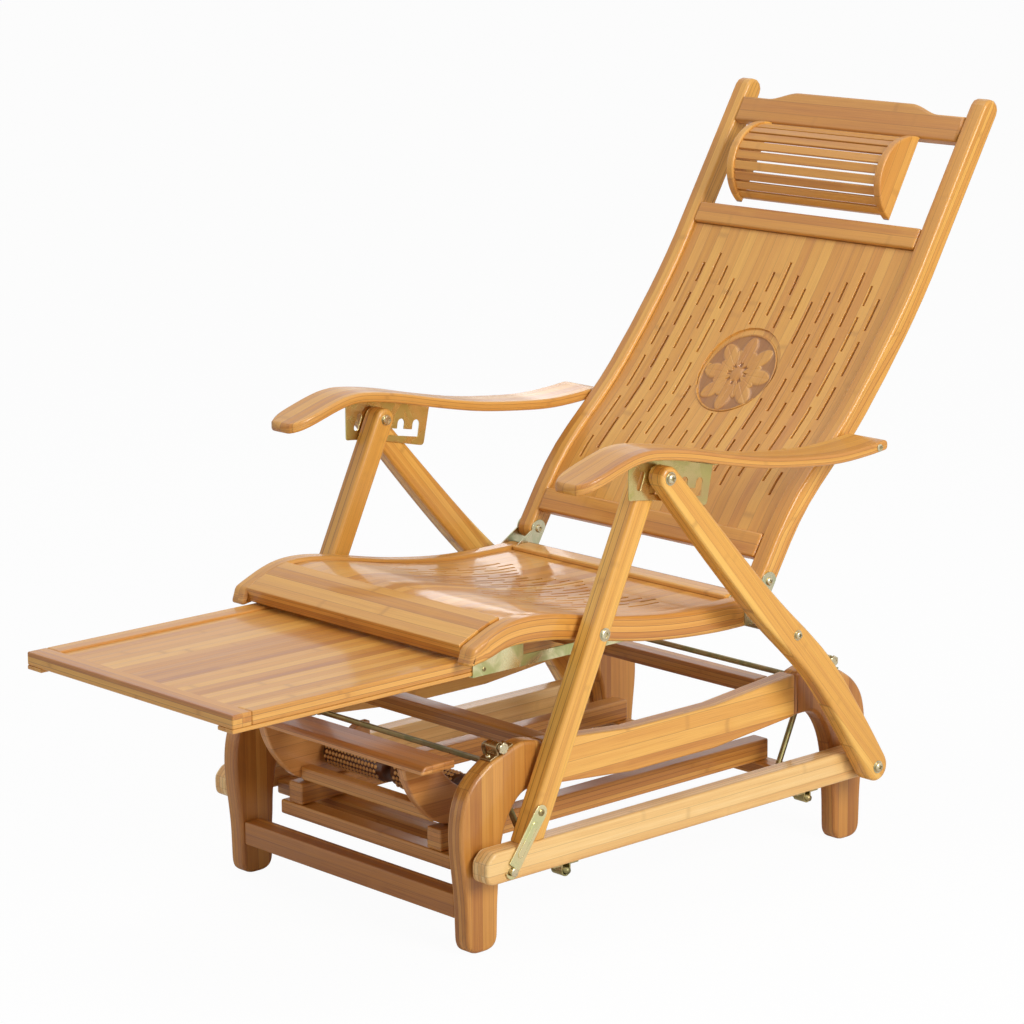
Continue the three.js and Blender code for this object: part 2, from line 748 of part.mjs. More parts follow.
// Cutters for the slots of a curved panel, with the distances counted back from one share of its curve
function slotCutters(curve, fromShare, rows, near, far, clearOf = () => 0, middle = 0) {
  const length = curve.getLength();
  const cutters = [];
  for (let column = -rows.columns; column <= rows.columns; column += 1) {
    const x = column * rows.pitch;
    const free = clearOf(x);
    for (const [top, bottom] of slotRuns(rows, column)) {
      const parts = free > 0 ? [[top, Math.min(bottom, middle - free)], [Math.max(top, middle + free), bottom]] : [[top, bottom]];
      for (const [start, end] of parts) {
        if (end - start < rows.merge) continue;
        const outline = strip(curve, fromShare - end / length, fromShare - start / length, near, far, 1);
        cutters.push(board(outline, [x - rows.width / 2, x + rows.width / 2]));
      }
    }
  }
  return cutters;
}

// Seat: two waved side rails, a bar at each end and a slotted panel between
const seatLength = seatRear - seatFront;
const seatSpread = (shares) => spread(shares, seatFront, seatLow, seatLength, seatRise);
const seatTop = new THREE.SplineCurve(seatSpread(seatTopShares));

function seatRailOutline() {
  const shape = new THREE.Shape();
  const over = seatSpread(seatTopShares);
  const under = seatSpread(seatUnderShares);
  shape.moveTo(...over[0]);
  shape.splineThru(over.slice(1));
  shape.lineTo(...under[0]);
  shape.splineThru(under.slice(1));
  return shape;
}

for (const [sideName, side] of sides) {
  const span = spanOf(side, seatInner, seatInner + seatThick);
  piece(`seat_rail_${sideName}`, board(seatRailOutline(), span, 2), bamboo);
}
const seatInside = [-seatInner + gap, seatInner - gap];
const frontBar = strip(seatTop, 0, frontBarShare, seatBarProud, seatBarProud - seatBarThick, 4);
piece('seat_front_bar', board(frontBar, seatInside), bamboo);
const rearBar = strip(seatTop, rearBarShare, 1, seatBarProud, seatBarProud - seatBarThick, 2);
const rearBarHalf = seatInner - hingePlate - 2 * gap;
piece('seat_rear_bar', board(rearBar, [-rearBarHalf, rearBarHalf]), bamboo);
const seatPlay = gap / seatTop.getLength();
const seatPanel = strip(
  seatTop,
  frontBarShare + seatPlay,
  rearBarShare - seatPlay,
  -seatPanelRecess,
  -seatPanelRecess - seatPanelThick,
  roundSteps,
);
const seatSlots = slotCutters(
  seatTop,
  rearBarShare,
  seatSlotRows,
  -seatPanelRecess + overrun,
  -seatPanelRecess - seatPanelThick - overrun,
);
piece('seat_panel', cut(board(seatPanel, seatInside), ...seatSlots), bamboo);

// Slide angles under the seat rails, and the footrest that rides on them
const slideBottom = slideTop - slideHeight;
const slideOuter = seatInner - gap;
const slideInner = slideOuter - slidePlate;
const slideTabFront = seatTop.getPointAt(frontBarShare).x + slideTabLength;
for (const [sideName, side] of sides) {
  const web = block(spanOf(side, slideInner, slideOuter), [slideFront, slideRear], [slideBottom, slideTop]);
  const tabTop = seatLow + slideTabShare * seatRise;
  const tabSpan = [slideTabFront, slideTabFront + slideTabLength];
  const tab = block(spanOf(side, slideInner, slideOuter), tabSpan, [slideBottom, tabTop]);
  const flange = block(
    spanOf(side, slideOuter - slideFlange, slideOuter),
    [slideFront, slideRear],
    [slideBottom, slideBottom + slidePlate],
  );
  piece(`slide_angle_${sideName}`, fused(web, tab, flange), zinc);
}

const footrestHalf = slideInner - footrestPlay;
const footrestBottom = footrestTop - footrestThick;
const footrestRear = footrestFront + footrestLength;
const footrestY = [footrestFront, footrestRear];
const footrestFrame = block([-footrestHalf, footrestHalf], footrestY, [footrestBottom, footrestTop]);
const footrestWell = block(
  [-footrestHalf + footrestRail, footrestHalf - footrestRail],
  [footrestFront + footrestRail, footrestRear - footrestRail],
  [footrestTop - footrestPanelRecess, footrestTop + overrun],
);
const footrestUnder = block(
  [-footrestHalf + footrestRail, footrestHalf - footrestRail],
  [footrestFront + footrestRail, footrestRear - footrestRail],
  [footrestBottom - overrun, footrestTop - footrestPanelRecess - footrestPanelThick],
);
const battenBottom = slideBottom + slidePlate + gap;
const battens = sides.map(([, side]) => block(
  spanOf(side, footrestHalf - footrestRail, footrestHalf),
  footrestY,
  [battenBottom, footrestBottom + gap],
));
const tails = sides.map(([, side]) => block(
  spanOf(side, footrestHalf - footrestRail, footrestHalf),
  [footrestRear - footrestRail, footrestRear + footrestTail],
  [battenBottom, battenBottom + footrestTailHeight],
));
const footrestBody = solid(footrestFrame)
  .subtract(solid(footrestWell))
  .subtract(solid(footrestUnder))
  .add(solid(battens[0]))
  .add(solid(battens[1]))
  .add(solid(tails[0]))
  .add(solid(tails[1]));
piece('footrest', surface(footrestBody), bamboo);

// Back: curved rails with a slotted panel and bars between, hinged low at the seat's rear
const backCurve = new THREE.SplineCurve(spread(backShares, backPivotY, backPivotZ, backRun, backRise));
const backLength = backCurve.getLength();
const backFace = backDepth / 2;
for (const [sideName, side] of sides) {
  const span = spanOf(side, seatInner, seatInner + seatThick);
  piece(`back_rail_${sideName}`, board(limb(backCurve, () => backDepth, 2 * roundSteps), span), bamboo);
}

// Places a geometry made about the middle of a bar on the back's front face at a share of its length
function onBack(mesh, share, sink) {
  const centre = backCurve.getPointAt(share);
  const along = backCurve.getTangentAt(share);
  const spot = centre.clone().addScaledVector(point(-along.y, along.x), backFace - sink);
  mesh.position.set(0, spot.x, spot.y);
  mesh.rotation.x = -Math.atan2(along.x, along.y);
}

const backInside = seatInner - gap;
function backBar(name, share, height) {
  const geometry = new THREE.BoxGeometry(2 * backInside, backBarThick, height);
  onBack(piece(name, geometry, bamboo), share, backBarThick / 2 - backBarProud);
}
backBar('back_lower_bar', lowerBackBarShare, lowerBackBarHeight);
backBar('back_upper_bar', upperBackBarShare, upperBackBarHeight);

function topRailOutline() {
  const high = topRailHeight / 2 + topRailCrown;
  const shape = new THREE.Shape();
  shape.moveTo(-backInside, -topRailHeight / 2);
  shape.lineTo(backInside, -topRailHeight / 2);
  shape.lineTo(backInside, topRailHeight / 2);
  shape.lineTo(topRailCrownHalf + topRailShoulder, topRailHeight / 2);
  shape.lineTo(topRailCrownHalf, high);
  shape.lineTo(-topRailCrownHalf, high);
  shape.lineTo(-topRailCrownHalf - topRailShoulder, topRailHeight / 2);
  shape.lineTo(-backInside, topRailHeight / 2);
  return shape;
}
const topRailGeometry = new THREE.ExtrudeGeometry(topRailOutline(), { depth: backBarThick, bevelEnabled: false });
topRailGeometry.rotateX(Math.PI / 2).translate(0, backBarThick / 2, 0);
onBack(piece('back_top_rail', topRailGeometry, bamboo), topRailShare, backBarThick / 2 - backBarProud);

const panelFrom = lowerBackBarShare + (lowerBackBarHeight / 2 + 2 * gap) / backLength;
const panelTo = upperBackBarShare - (upperBackBarHeight / 2 + 2 * gap) / backLength;
const panelFront = backFace - backPanelRecess;
const backPanel = strip(backCurve, panelFrom, panelTo, panelFront, panelFront - backPanelThick, roundSteps);

// The medallion is a round recess that follows the panel's curve, with the slots kept clear of it
const panelEdge = upperBackBarShare - upperBackBarHeight / 2 / backLength;
const medallionShare = panelEdge - medallionDrop / backLength;
const clearOfMedallion = (x) => Math.sqrt(Math.max((medallionRadius + medallionMargin) ** 2 - x ** 2, 0));
const backSlots = slotCutters(
  backCurve,
  panelEdge,
  backSlotRows,
  panelFront + overrun,
  panelFront - backPanelThick - overrun,
  clearOfMedallion,
  medallionDrop,
);
const medallionReach = medallionRadius / backLength;
const medallionSkin = strip(
  backCurve,
  medallionShare - medallionReach,
  medallionShare + medallionReach,
  panelFront + overrun,
  panelFront - medallionDepth,
  roundSteps / 2,
);
const medallionDrum = new THREE.Mesh(new THREE.CylinderGeometry(medallionRadius, medallionRadius, backDepth, 2 * roundSteps));
onBack(medallionDrum, medallionShare, 0);
medallionDrum.updateMatrix();
const drum = solid(medallionDrum.geometry.applyMatrix4(medallionDrum.matrix));
const recess = surface(solid(board(medallionSkin, [-medallionRadius, medallionRadius])).intersect(drum));
piece('back_panel', cut(board(backPanel, [-backInside, backInside]), recess, ...backSlots), bamboo);

// Headrest: slats laid round the rims of two D-shaped end boards, between the upper bar and top rail
const windowLow = upperBackBarShare + (upperBackBarHeight / 2) / backLength;
const windowHigh = topRailShare - (topRailHeight / 2) / backLength;
const headrestChord = (windowHigh - windowLow) * backLength - 4 * gap;
const headrestRadius = (headrestChord ** 2 / 4 + headrestDepth ** 2) / (2 * headrestDepth);
const headrestRim = headrestRadius - headrestSlatThick;
const headrestSweep = Math.asin(headrestChord / 2 / headrestRadius);

function headrestDiscOutline() {
  const centreY = headrestRadius - headrestDepth;
  const sweep = Math.acos(centreY / headrestRim);
  const shape = new THREE.Shape();
  shape.absarc(centreY, 0, headrestRim, Math.PI - sweep, Math.PI + sweep, false);
  return shape;
}

function headrestGeometry() {
  const centreY = headrestRadius - headrestDepth;
  const discs = sides.map(([, side]) => board(
    headrestDiscOutline(),
    spanOf(side, headrestHalf - headrestDisc, headrestHalf),
    roundSteps,
  ));
  const battenDeep = 2 * headrestSlatThick;
  const backBattens = [-1, 1].map((end) => block(
    [-headrestHalf, headrestHalf],
    [-battenDeep, 0],
    end > 0 ? [headrestChord / 2 - battenDeep, headrestChord / 2] : [-headrestChord / 2, -headrestChord / 2 + battenDeep],
  ));
  const slats = [];
  for (let i = 0; i < headrestSlats; i += 1) {
    const angle = headrestSweep * (-1 + (2 * i + 1) / headrestSlats);
    const slat = new THREE.BoxGeometry(2 * headrestHalf, 2 * headrestSlatThick, headrestSlatWide);
    slat.translate(0, -headrestRadius + headrestSlatThick, 0).rotateX(-angle).translate(0, centreY, 0);
    slats.push(slat);
  }
  return fused(...discs, ...backBattens, ...slats);
}
const headrest = piece('headrest', headrestGeometry(), bamboo);
onBack(headrest, (windowLow + windowHigh) / 2, 0);

// Hinges: a clevis on each seat rail's rear end that straddles the back rail
for (const [sideName, side] of sides) {
  const inner = seatInner - gap;
  const outer = seatInner + seatThick + gap;
  const plate = new THREE.Shape();
  const seatPlateTop = seatLow + hingeTopShare * seatRise;
  plate.moveTo(seatRear - hingeForward, seatLow + hingePlate);
  plate.lineTo(seatRear, seatLow + hingePlate);
  plate.lineTo(backPivotY + hingeEyeRadius, backPivotZ);
  plate.absarc(backPivotY, backPivotZ, hingeEyeRadius, 0, Math.PI, false);
  plate.lineTo(seatRear - hingeForward, seatPlateTop);
  const cheeks = [
    board(plate, spanOf(side, inner - hingePlate, inner), roundSteps / 2),
    board(plate, spanOf(side, outer, outer + hingePlate), roundSteps / 2),
  ];
  const bridge = block(
    spanOf(side, inner - hingePlate, outer + hingePlate),
    [seatRear + gap, seatRear + gap + hingePlate / 2],
    [seatLow + hingePlate, seatPlateTop],
  );
  piece(`back_hinge_${sideName}`, fused(cheeks[0], bridge, cheeks[1]), brass);
}

// Arms: waved boards, rounded at the front in plan and narrower past the back rails
const armCurve = new THREE.SplineCurve(spread(armShares, armFrontY, armLowZ, armRun, armRise));
const armPivot = armCurve.getPointAt(armPivotShare);

function armPlan(side) {
  const shape = new THREE.Shape();
  const tailY = armFrontY + armRun + overrun;
  const frontY = armFrontY - overrun;
  const waist = armFrontY + armWaistShare * armRun;
  const noseWide = armNoseShare * armWide;
  const noseLong = armNoseLengthShare * armWide;
  shape.moveTo(side * armInner, waist);
  shape.lineTo(side * armInner, frontY + noseLong);
  shape.quadraticCurveTo(side * armInner, frontY, side * (armInner + noseWide), frontY);
  shape.lineTo(side * (armOuter - noseWide), frontY);
  shape.quadraticCurveTo(side * armOuter, frontY, side * armOuter, frontY + noseLong);
  shape.lineTo(side * armOuter, tailY);
  shape.lineTo(side * armRearInner, tailY);
  shape.lineTo(side * armRearInner, armPivot.x - armThick);
  return shape;
}

for (const [sideName, side] of sides) {
  const profile = board(limb(armCurve, () => armThick, 2 * roundSteps), spanOf(side, armRearInner, armOuter));
  const plan = new THREE.ExtrudeGeometry(armPlan(side), { depth: 3 * armRise, bevelEnabled: false, curveSegments: 6 });
  plan.translate(0, 0, armLowZ - armRise);
  const hub = pin(spanOf(side, seatInner + seatThick + gap, armRearInner + overrun), armPivot.x, armPivot.y, armHubRadius);
  piece(`arm_${sideName}`, surface(solid(profile).intersect(solid(plan)).add(solid(hub))), bamboo);
}

// Slotted brackets: angle plates under the arms, notched for the bolts of the crossing
function bracketSlot() {
  const along = point(Math.cos(notchTilt), Math.sin(notchTilt));
  const up = point(-along.y, along.x);
  const at = (run, rise) => crossPivot.clone().addScaledVector(along, run).addScaledVector(up, rise);
  const low = slotLip - slotHigh - notchRadius;
  const high = slotLip - notchRadius;
  const far = (notchCount - 1) * notchPitch + slotEnd;
  const outline = [at(-slotEnd, low), at(far, low), at(far, high)];
  for (let k = notchCount - 1; k >= 0; k -= 1) {
    for (let i = 0; i <= 4; i += 1) {
      const angle = (Math.PI * i) / 4;
      outline.push(at(k * notchPitch + notchRadius * Math.cos(angle), notchRadius * Math.sin(angle)));
    }
    const from = k * notchPitch - notchRadius;
    outline.push(at(from, high));
    if (k > 0) outline.push(at(from - notchPitch + 2 * notchRadius, high));
  }
  outline.push(at(-slotEnd, high));
  return new THREE.Shape(outline);
}

for (const [sideName, side] of sides) {
  const near = runnerInner + runnerThick + linkPlay;
  const underArm = armThick / 2 + 2 * gap;
  const armY = (share) => armCurve.getPointAt(share).x;
  let from = 0;
  while (armY(from) < bracketFront) from += stepShare;
  let to = from;
  while (armY(to) < bracketFront + bracketLength) to += stepShare;
  const hung = strip(armCurve, from, to, -underArm, -underArm - bracketDepth, roundSteps);
  const flangeOutline = strip(armCurve, from, to, -underArm, -underArm - bracketThick, roundSteps);
  const plate = board(hung, spanOf(side, near, near + bracketThick));
  const flange = board(flangeOutline, spanOf(side, near, near + bracketFlange));
  const slot = board(bracketSlot(), spanOf(side, near - overrun, near + bracketThick + overrun));
  piece(`arm_bracket_${sideName}`, surface(solid(plate).add(solid(flange)).subtract(solid(slot))), zinc);
}

// Stand on the floor with the overall length centred
const extent = new THREE.Box3().setFromObject(recliner);
recliner.position.set(0, -(extent.min.y + extent.max.y) / 2, -extent.min.z);

export default recliner;
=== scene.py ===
import json
import math

import bmesh
import bpy
import numpy as np
from mathutils import Matrix, Vector
from mathutils.bvhtree import BVHTree


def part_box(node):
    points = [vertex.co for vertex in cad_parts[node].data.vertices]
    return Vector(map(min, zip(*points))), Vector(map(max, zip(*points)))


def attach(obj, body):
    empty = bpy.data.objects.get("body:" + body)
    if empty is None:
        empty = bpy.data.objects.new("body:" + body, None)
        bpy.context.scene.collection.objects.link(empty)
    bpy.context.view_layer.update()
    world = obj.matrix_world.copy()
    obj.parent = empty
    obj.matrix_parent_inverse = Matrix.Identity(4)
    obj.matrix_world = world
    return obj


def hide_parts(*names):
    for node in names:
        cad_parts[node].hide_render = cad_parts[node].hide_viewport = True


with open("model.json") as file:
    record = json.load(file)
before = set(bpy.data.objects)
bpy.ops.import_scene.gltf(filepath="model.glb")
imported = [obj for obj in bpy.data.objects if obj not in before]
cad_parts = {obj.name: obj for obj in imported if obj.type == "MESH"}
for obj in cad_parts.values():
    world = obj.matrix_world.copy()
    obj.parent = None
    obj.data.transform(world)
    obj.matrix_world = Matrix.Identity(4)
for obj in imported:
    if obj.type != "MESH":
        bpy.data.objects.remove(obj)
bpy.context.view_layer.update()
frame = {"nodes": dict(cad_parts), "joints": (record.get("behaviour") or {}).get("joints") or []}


# Base legs and beams: boards of carbonised bamboo, pressed from strips 20 mm wide in layers of
# 6 mm, sawn to a curved outline, rounded over along every edge and sprayed with clear lacquer.
strip_width = 0.020
layer_height = 0.006
grain_margin = 0.12
end_grain_reach = 0.035
base_round = 0.006
foot_height = 0.062
foot_round = 0.022
toe_in = 0.002
axis_x = (1, 0, 0)
axis_y = (0, 1, 0)
axis_z = (0, 0, 1)
sides = {"left": -1, "right": 1}
ends = ("front", "rear")


def fill(tree, socket, value):
    """Links a value to a socket, or sets it there."""
    if isinstance(value, bpy.types.NodeSocket):
        tree.links.new(value, socket)
    else:
        socket.default_value = value


def add(tree, kind, **inputs):
    step = tree.nodes.new(kind)
    for name, value in inputs.items():
        fill(tree, step.inputs[name], value)
    return step


def sums(tree, operation, *values):
    step = tree.nodes.new("ShaderNodeMath")
    step.operation = operation
    for place, value in enumerate(values):
        fill(tree, step.inputs[place], value)
    return step.outputs[0]


def between(tree, value, low, high, out_low=0.0, out_high=1.0):
    ramp = tree.nodes.new("ShaderNodeMapRange")
    ramp.interpolation_type = "SMOOTHSTEP"
    for place, number in enumerate((value, low, high, out_low, out_high)):
        fill(tree, ramp.inputs[place], number)
    return ramp.outputs["Result"]


def blended(tree, share, first, second):
    mix = tree.nodes.new("ShaderNodeMix")
    mix.data_type = "RGBA"
    for place, value in ((0, share), (6, first), (7, second)):
        fill(tree, mix.inputs[place], value)
    return mix.outputs[2]


def object_spot(tree):
    return add(tree, "ShaderNodeTexCoord").outputs["Object"]


def grain_spot(tree):
    attribute = tree.nodes.new("ShaderNodeAttribute")
    attribute.attribute_name = "grain"
    return attribute.outputs["Vector"]


def stretched(tree, scale, detail=2.0, roughness=0.5):
    """Noise along the grain: the scale is per metre of length, per strip and per layer."""
    spot = add(tree, "ShaderNodeMapping", Vector=grain_spot(tree), Scale=scale).outputs[0]
    noise = add(tree, "ShaderNodeTexNoise", Vector=spot, Scale=1.0, Detail=detail, Roughness=roughness)
    return noise.outputs["Fac"]


def bumpy(tree, socket, height, strength, distance):
    bump = add(tree, "ShaderNodeBump", Height=height, Strength=strength, Distance=distance)
    tree.links.new(bump.outputs[0], socket)


def new_finish(name):
    material = bpy.data.materials.new(name)
    material.use_nodes = True
    return material, material.node_tree, material.node_tree.nodes["Principled BSDF"]


def lacquered_bamboo(name, pale, honey, deep, gloss=0.16, variety=0.50):
    """Bamboo strips under clear lacquer, laid by the grain that each piece stores."""
    material, tree, shader = new_finish(name)
    length, across, deepness = add(tree, "ShaderNodeSeparateXYZ", Vector=grain_spot(tree)).outputs

    def swing(value):
        return sums(tree, "SUBTRACT", value, 0.5)

    def off_middle(value):
        return sums(tree, "ABSOLUTE", swing(sums(tree, "FRACT", value)))

    # Each strip is cut from another cane, so each has its own tone and its own place for its nodes
    strip, layer = sums(tree, "FLOOR", across), sums(tree, "FLOOR", deepness)
    cell = add(tree, "ShaderNodeCombineXYZ", X=strip, Y=layer, Z=0.37)
    cane = add(tree, "ShaderNodeTexWhiteNoise", Vector=cell.outputs[0])
    tone, shift, warmth = add(tree, "ShaderNodeSeparateColor", Color=cane.outputs["Color"]).outputs

    broad = stretched(tree, (2.2, 2.4, 1.6), 3.0)
    fibre = stretched(tree, (7.0, 22.0, 9.0), 4.0, 0.6)
    fine = stretched(tree, (26.0, 75.0, 28.0), 2.0, 0.6)
    value = sums(tree, "MULTIPLY_ADD", tone, variety, sums(tree, "MULTIPLY", broad, 0.60))
    value = sums(tree, "SUBTRACT", value, (variety - 0.44) / 2)
    value = sums(tree, "MULTIPLY_ADD", swing(fibre), 0.62, value)
    value = sums(tree, "MULTIPLY_ADD", swing(fine), 0.30, value)
    lower = blended(tree, between(tree, value, 0.02, 0.55), deep, honey)
    wood = blended(tree, between(tree, value, 0.42, 0.98), lower, pale)
    wood = blended(tree, sums(tree, "MULTIPLY", warmth, 0.18), wood, (0.62, 0.22, 0.045, 1))

    # Vascular bundles show as short dark dashes
    dashes = between(tree, stretched(tree, (11.0, 48.0, 17.0), 1.0), 0.60, 0.72, 0.0, 0.34)
    wood = blended(tree, dashes, wood, (0.30, 0.115, 0.025, 1))

    # The cane's nodes: a soft darker band across a strip, every third of a metre or so
    wander = sums(tree, "MULTIPLY", swing(stretched(tree, (3.0, 1.1, 1.0))), 0.008)
    place = sums(tree, "ADD", sums(tree, "MULTIPLY_ADD", shift, 0.41, length), wander)
    off = off_middle(sums(tree, "MULTIPLY", place, 1 / 0.33))
    band = between(tree, off, 0.001, 0.022, 0.52, 0.0)
    band = sums(tree, "MULTIPLY", band, sums(tree, "MULTIPLY", tone, 0.5))
    wood = blended(tree, between(tree, off, 0.01, 0.08, 0.30, 0.0), wood, honey)
    wood = blended(tree, band, wood, (0.22, 0.07, 0.014, 1))

    # Glue lines between strips and between layers
    strip_seam = between(tree, off_middle(across), 0.465, 0.492, 0.0, 0.40)
    layer_seam = between(tree, off_middle(deepness), 0.43, 0.485, 0.0, 0.72)
    seam = sums(tree, "MAXIMUM", strip_seam, layer_seam)
    wood = blended(tree, seam, wood, (0.17, 0.052, 0.011, 1))
    fill(tree, shader.inputs["Base Color"], wood)

    height = sums(tree, "MULTIPLY_ADD", fine, 0.35, sums(tree, "MULTIPLY", fibre, 0.4))
    height = sums(tree, "SUBTRACT", height, sums(tree, "MULTIPLY", seam, 0.9))
    height = sums(tree, "SUBTRACT", height, sums(tree, "MULTIPLY", band, 0.15))
    bumpy(tree, shader.inputs["Normal"], height, 0.22, 0.0006)
    ripple = add(tree, "ShaderNodeTexNoise", Vector=object_spot(tree), Scale=60.0, Detail=1.0)
    bumpy(tree, shader.inputs["Coat Normal"], ripple.outputs["Fac"], 0.10, 0.0008)
    fill(tree, shader.inputs["Roughness"], between(tree, broad, 0.3, 0.7, 0.42, 0.56))
    shader.inputs["Coat Weight"].default_value = 0.45
    shader.inputs["Coat Roughness"].default_value = gloss
    shader.inputs["Coat IOR"].default_value = 1.48
    return material


def spots(mesh):
    return np.array([vertex.co for vertex in mesh.vertices])


def edge_ends(mesh):
    return np.array([edge.vertices[:] for edge in mesh.edges])


def midline(points, edges, samples=48, margin=0.04):
    """Middle height of a side view outline at stations along it, run straight on at both ends."""
    low, high = points[:, 0].min(), points[:, 0].max()
    stations = np.linspace(low + margin * (high - low), high - margin * (high - low), samples)
    start, end = points[edges[:, 0]], points[edges[:, 1]]
    middles = []
    for station in stations:
        crossing = (start[:, 0] - station) * (end[:, 0] - station) < 0
        first, last = start[crossing], end[crossing]
        share = (station - first[:, 0]) / (last[:, 0] - first[:, 0])
        heights = first[:, 1] + share * (last[:, 1] - first[:, 1])
        middles.append((heights.min() + heights.max()) / 2)
    ahead = 2 * middles[0] - middles[2], 2 * middles[-1] - middles[-3]
    pitch = 2 * (stations[1] - stations[0])
    stations = np.concatenate([[stations[0] - pitch], stations, [stations[-1] + pitch]])
    return stations, np.concatenate([ahead[:1], middles, ahead[1:]])


def lay_grain(piece, along=None, thick=None, bent=False, strip=strip_width, layer=layer_height):
    """Stores where each point lies in the board: metres along, strips across and layers deep."""
    mesh = piece.data
    points = spots(mesh)
    given = np.array(along or thick, float)
    spare = np.cross(given, (0.31, 0.17, 0.93))
    first = spare / np.linalg.norm(spare)
    second = np.cross(given, first)
    flat = points @ np.stack([first, second], 1)
    swing = np.linalg.eigh(np.cov((flat - flat.mean(0)).T))[1]
    minor, major = (swing[0, place] * first + swing[1, place] * second for place in (0, 1))
    if along and thick:
        run, depth = np.array(along, float), np.array(thick, float)
    elif along:
        run, depth = given, minor
    else:
        run, depth = major, given
    length, across, deepness = points @ run, points @ np.cross(depth, run), points @ depth
    if bent:
        stations, middles = midline(np.stack([length, deepness], 1), edge_ends(mesh))
        fall = np.interp(length, stations, np.gradient(middles, stations))
        travelled = np.concatenate([[0], np.cumsum(np.hypot(np.diff(stations), np.diff(middles)))])
        deepness = (deepness - np.interp(length, stations, middles)) / np.sqrt(1 + fall ** 2)
        to_end = np.minimum(length - length.min(), length.max() - length)
        swell = 1 + 2.5 * np.clip(1 - to_end / end_grain_reach, 0, 1)
        deepness = np.clip(deepness * swell, deepness.min(), deepness.max())
        length = np.interp(length, stations, travelled)
    seed = sum(ord(letter) * (place + 3) for place, letter in enumerate(piece.name))
    units = []
    for reach, size in ((across, strip), (deepness, layer)):
        span = reach.max() - reach.min()
        count = max(1, round(span / size))
        share = (reach - reach.min()) / span
        units.append(grain_margin + share * (count - 2 * grain_margin) + seed % 97)
    spot = np.stack([length + (seed % 31) * 0.173, *units], 1)
    grain = mesh.attributes.get("grain") or mesh.attributes.new("grain", "FLOAT_VECTOR", "POINT")
    grain.data.foreach_set("vector", spot.astype(np.float32).ravel())


def smooth(mesh):
    for face in mesh.polygons:
        face.use_smooth = True


def soften(piece, width, segments=3, clamp=True, weld=True):
    """Rounds the edges over and shades the flats flat."""
    if weld:
        piece.modifiers.new("joined", "WELD").merge_threshold = 0.00001
        flat = piece.modifiers.new("flat faces", "DECIMATE")
        flat.decimate_type = "DISSOLVE"
        flat.angle_limit = math.radians(1.2)
    rounding = piece.modifiers.new("rounding", "BEVEL")
    rounding.width = width
    rounding.segments = segments
    rounding.limit_method = "ANGLE"
    rounding.angle_limit = math.radians(35)
    rounding.use_clamp_overlap = clamp
    smooth(piece.data)
    piece.modifiers.new("even shading", "WEIGHTED_NORMAL").keep_sharp = True


def coat(piece, material):
    piece.data.materials.clear()
    piece.data.materials.append(material)
    return piece


def finish_node(name, material, width, segments=3, clamp=True, **grain):
    piece = coat(frame["nodes"][name], material)
    if grain:
        lay_grain(piece, **grain)
    soften(piece, width, segments, clamp)
    return piece


def face_loops(name, side):
    """Outlines of the flat face on one side of a piece as (y, z) points, the longest first."""
    mesh = frame["nodes"][name].data
    reaches = [vertex.co.x for vertex in mesh.vertices]
    face = max(reaches) if side > 0 else min(reaches)
    steps = set()
    for polygon in mesh.polygons:
        corners = [mesh.vertices[place].co for place in polygon.vertices]
        if all(abs(corner.x - face) < 0.00002 for corner in corners):
            keys = [(round(corner.y, 5), round(corner.z, 5)) for corner in corners]
            steps.update(zip(keys, keys[1:] + keys[:1]))
    ahead = {first: second for first, second in steps if (second, first) not in steps}
    loops = []
    while ahead:
        start, here = ahead.popitem()
        loop = [start]
        while here != start and here in ahead:
            loop.append(here)
            here = ahead.pop(here)
        loops.append([Vector(spot) for spot in (loop if side > 0 else loop[::-1])])
    return sorted(loops, key=lambda loop: -np.ptp([spot.x for spot in loop]))


def eased(loop, radius=0.0, sharp=math.radians(40)):
    """An outline with its sharp corners rounded to a radius and its curves made smoother."""
    for passing in range(3):
        points = []
        for place, here in enumerate(loop):
            before, after = loop[place - 1], loop[(place + 1) % len(loop)]
            into, out = here - before, after - here
            turn = into.angle(out)
            if turn < 0.012:
                points.append(here)
            elif turn > sharp:
                reach = min(radius * math.tan(turn / 2), 0.48 * into.length, 0.48 * out.length)
                if reach < 0.0001 or passing:
                    points.append(here)
                    continue
                first, last = here - into.normalized() * reach, here + out.normalized() * reach
                for step in range(7):
                    share = step / 6
                    points.append(first.lerp(here, share).lerp(here.lerp(last, share), share))
            else:
                reach = 0.25 * min(into.length, out.length)
                points += [here - into.normalized() * reach, here + out.normalized() * reach]
        loop = points
    return loop


def bridge(shape, rings):
    for near, far in zip(rings, rings[1:]):
        for place in range(len(near)):
            after = (place + 1) % len(near)
            shape.faces.new((near[place], near[after], far[after], far[place]))


def closed_mesh(shape, name):
    bmesh.ops.recalc_face_normals(shape, faces=shape.faces)
    mesh = bpy.data.meshes.new(name)
    shape.to_mesh(mesh)
    shape.free()
    return mesh


def new_piece(name, mesh, material, body):
    piece = bpy.data.objects.new(name, mesh)
    bpy.context.scene.collection.objects.link(piece)
    smooth(mesh)
    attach(piece, body)
    return coat(piece, material)


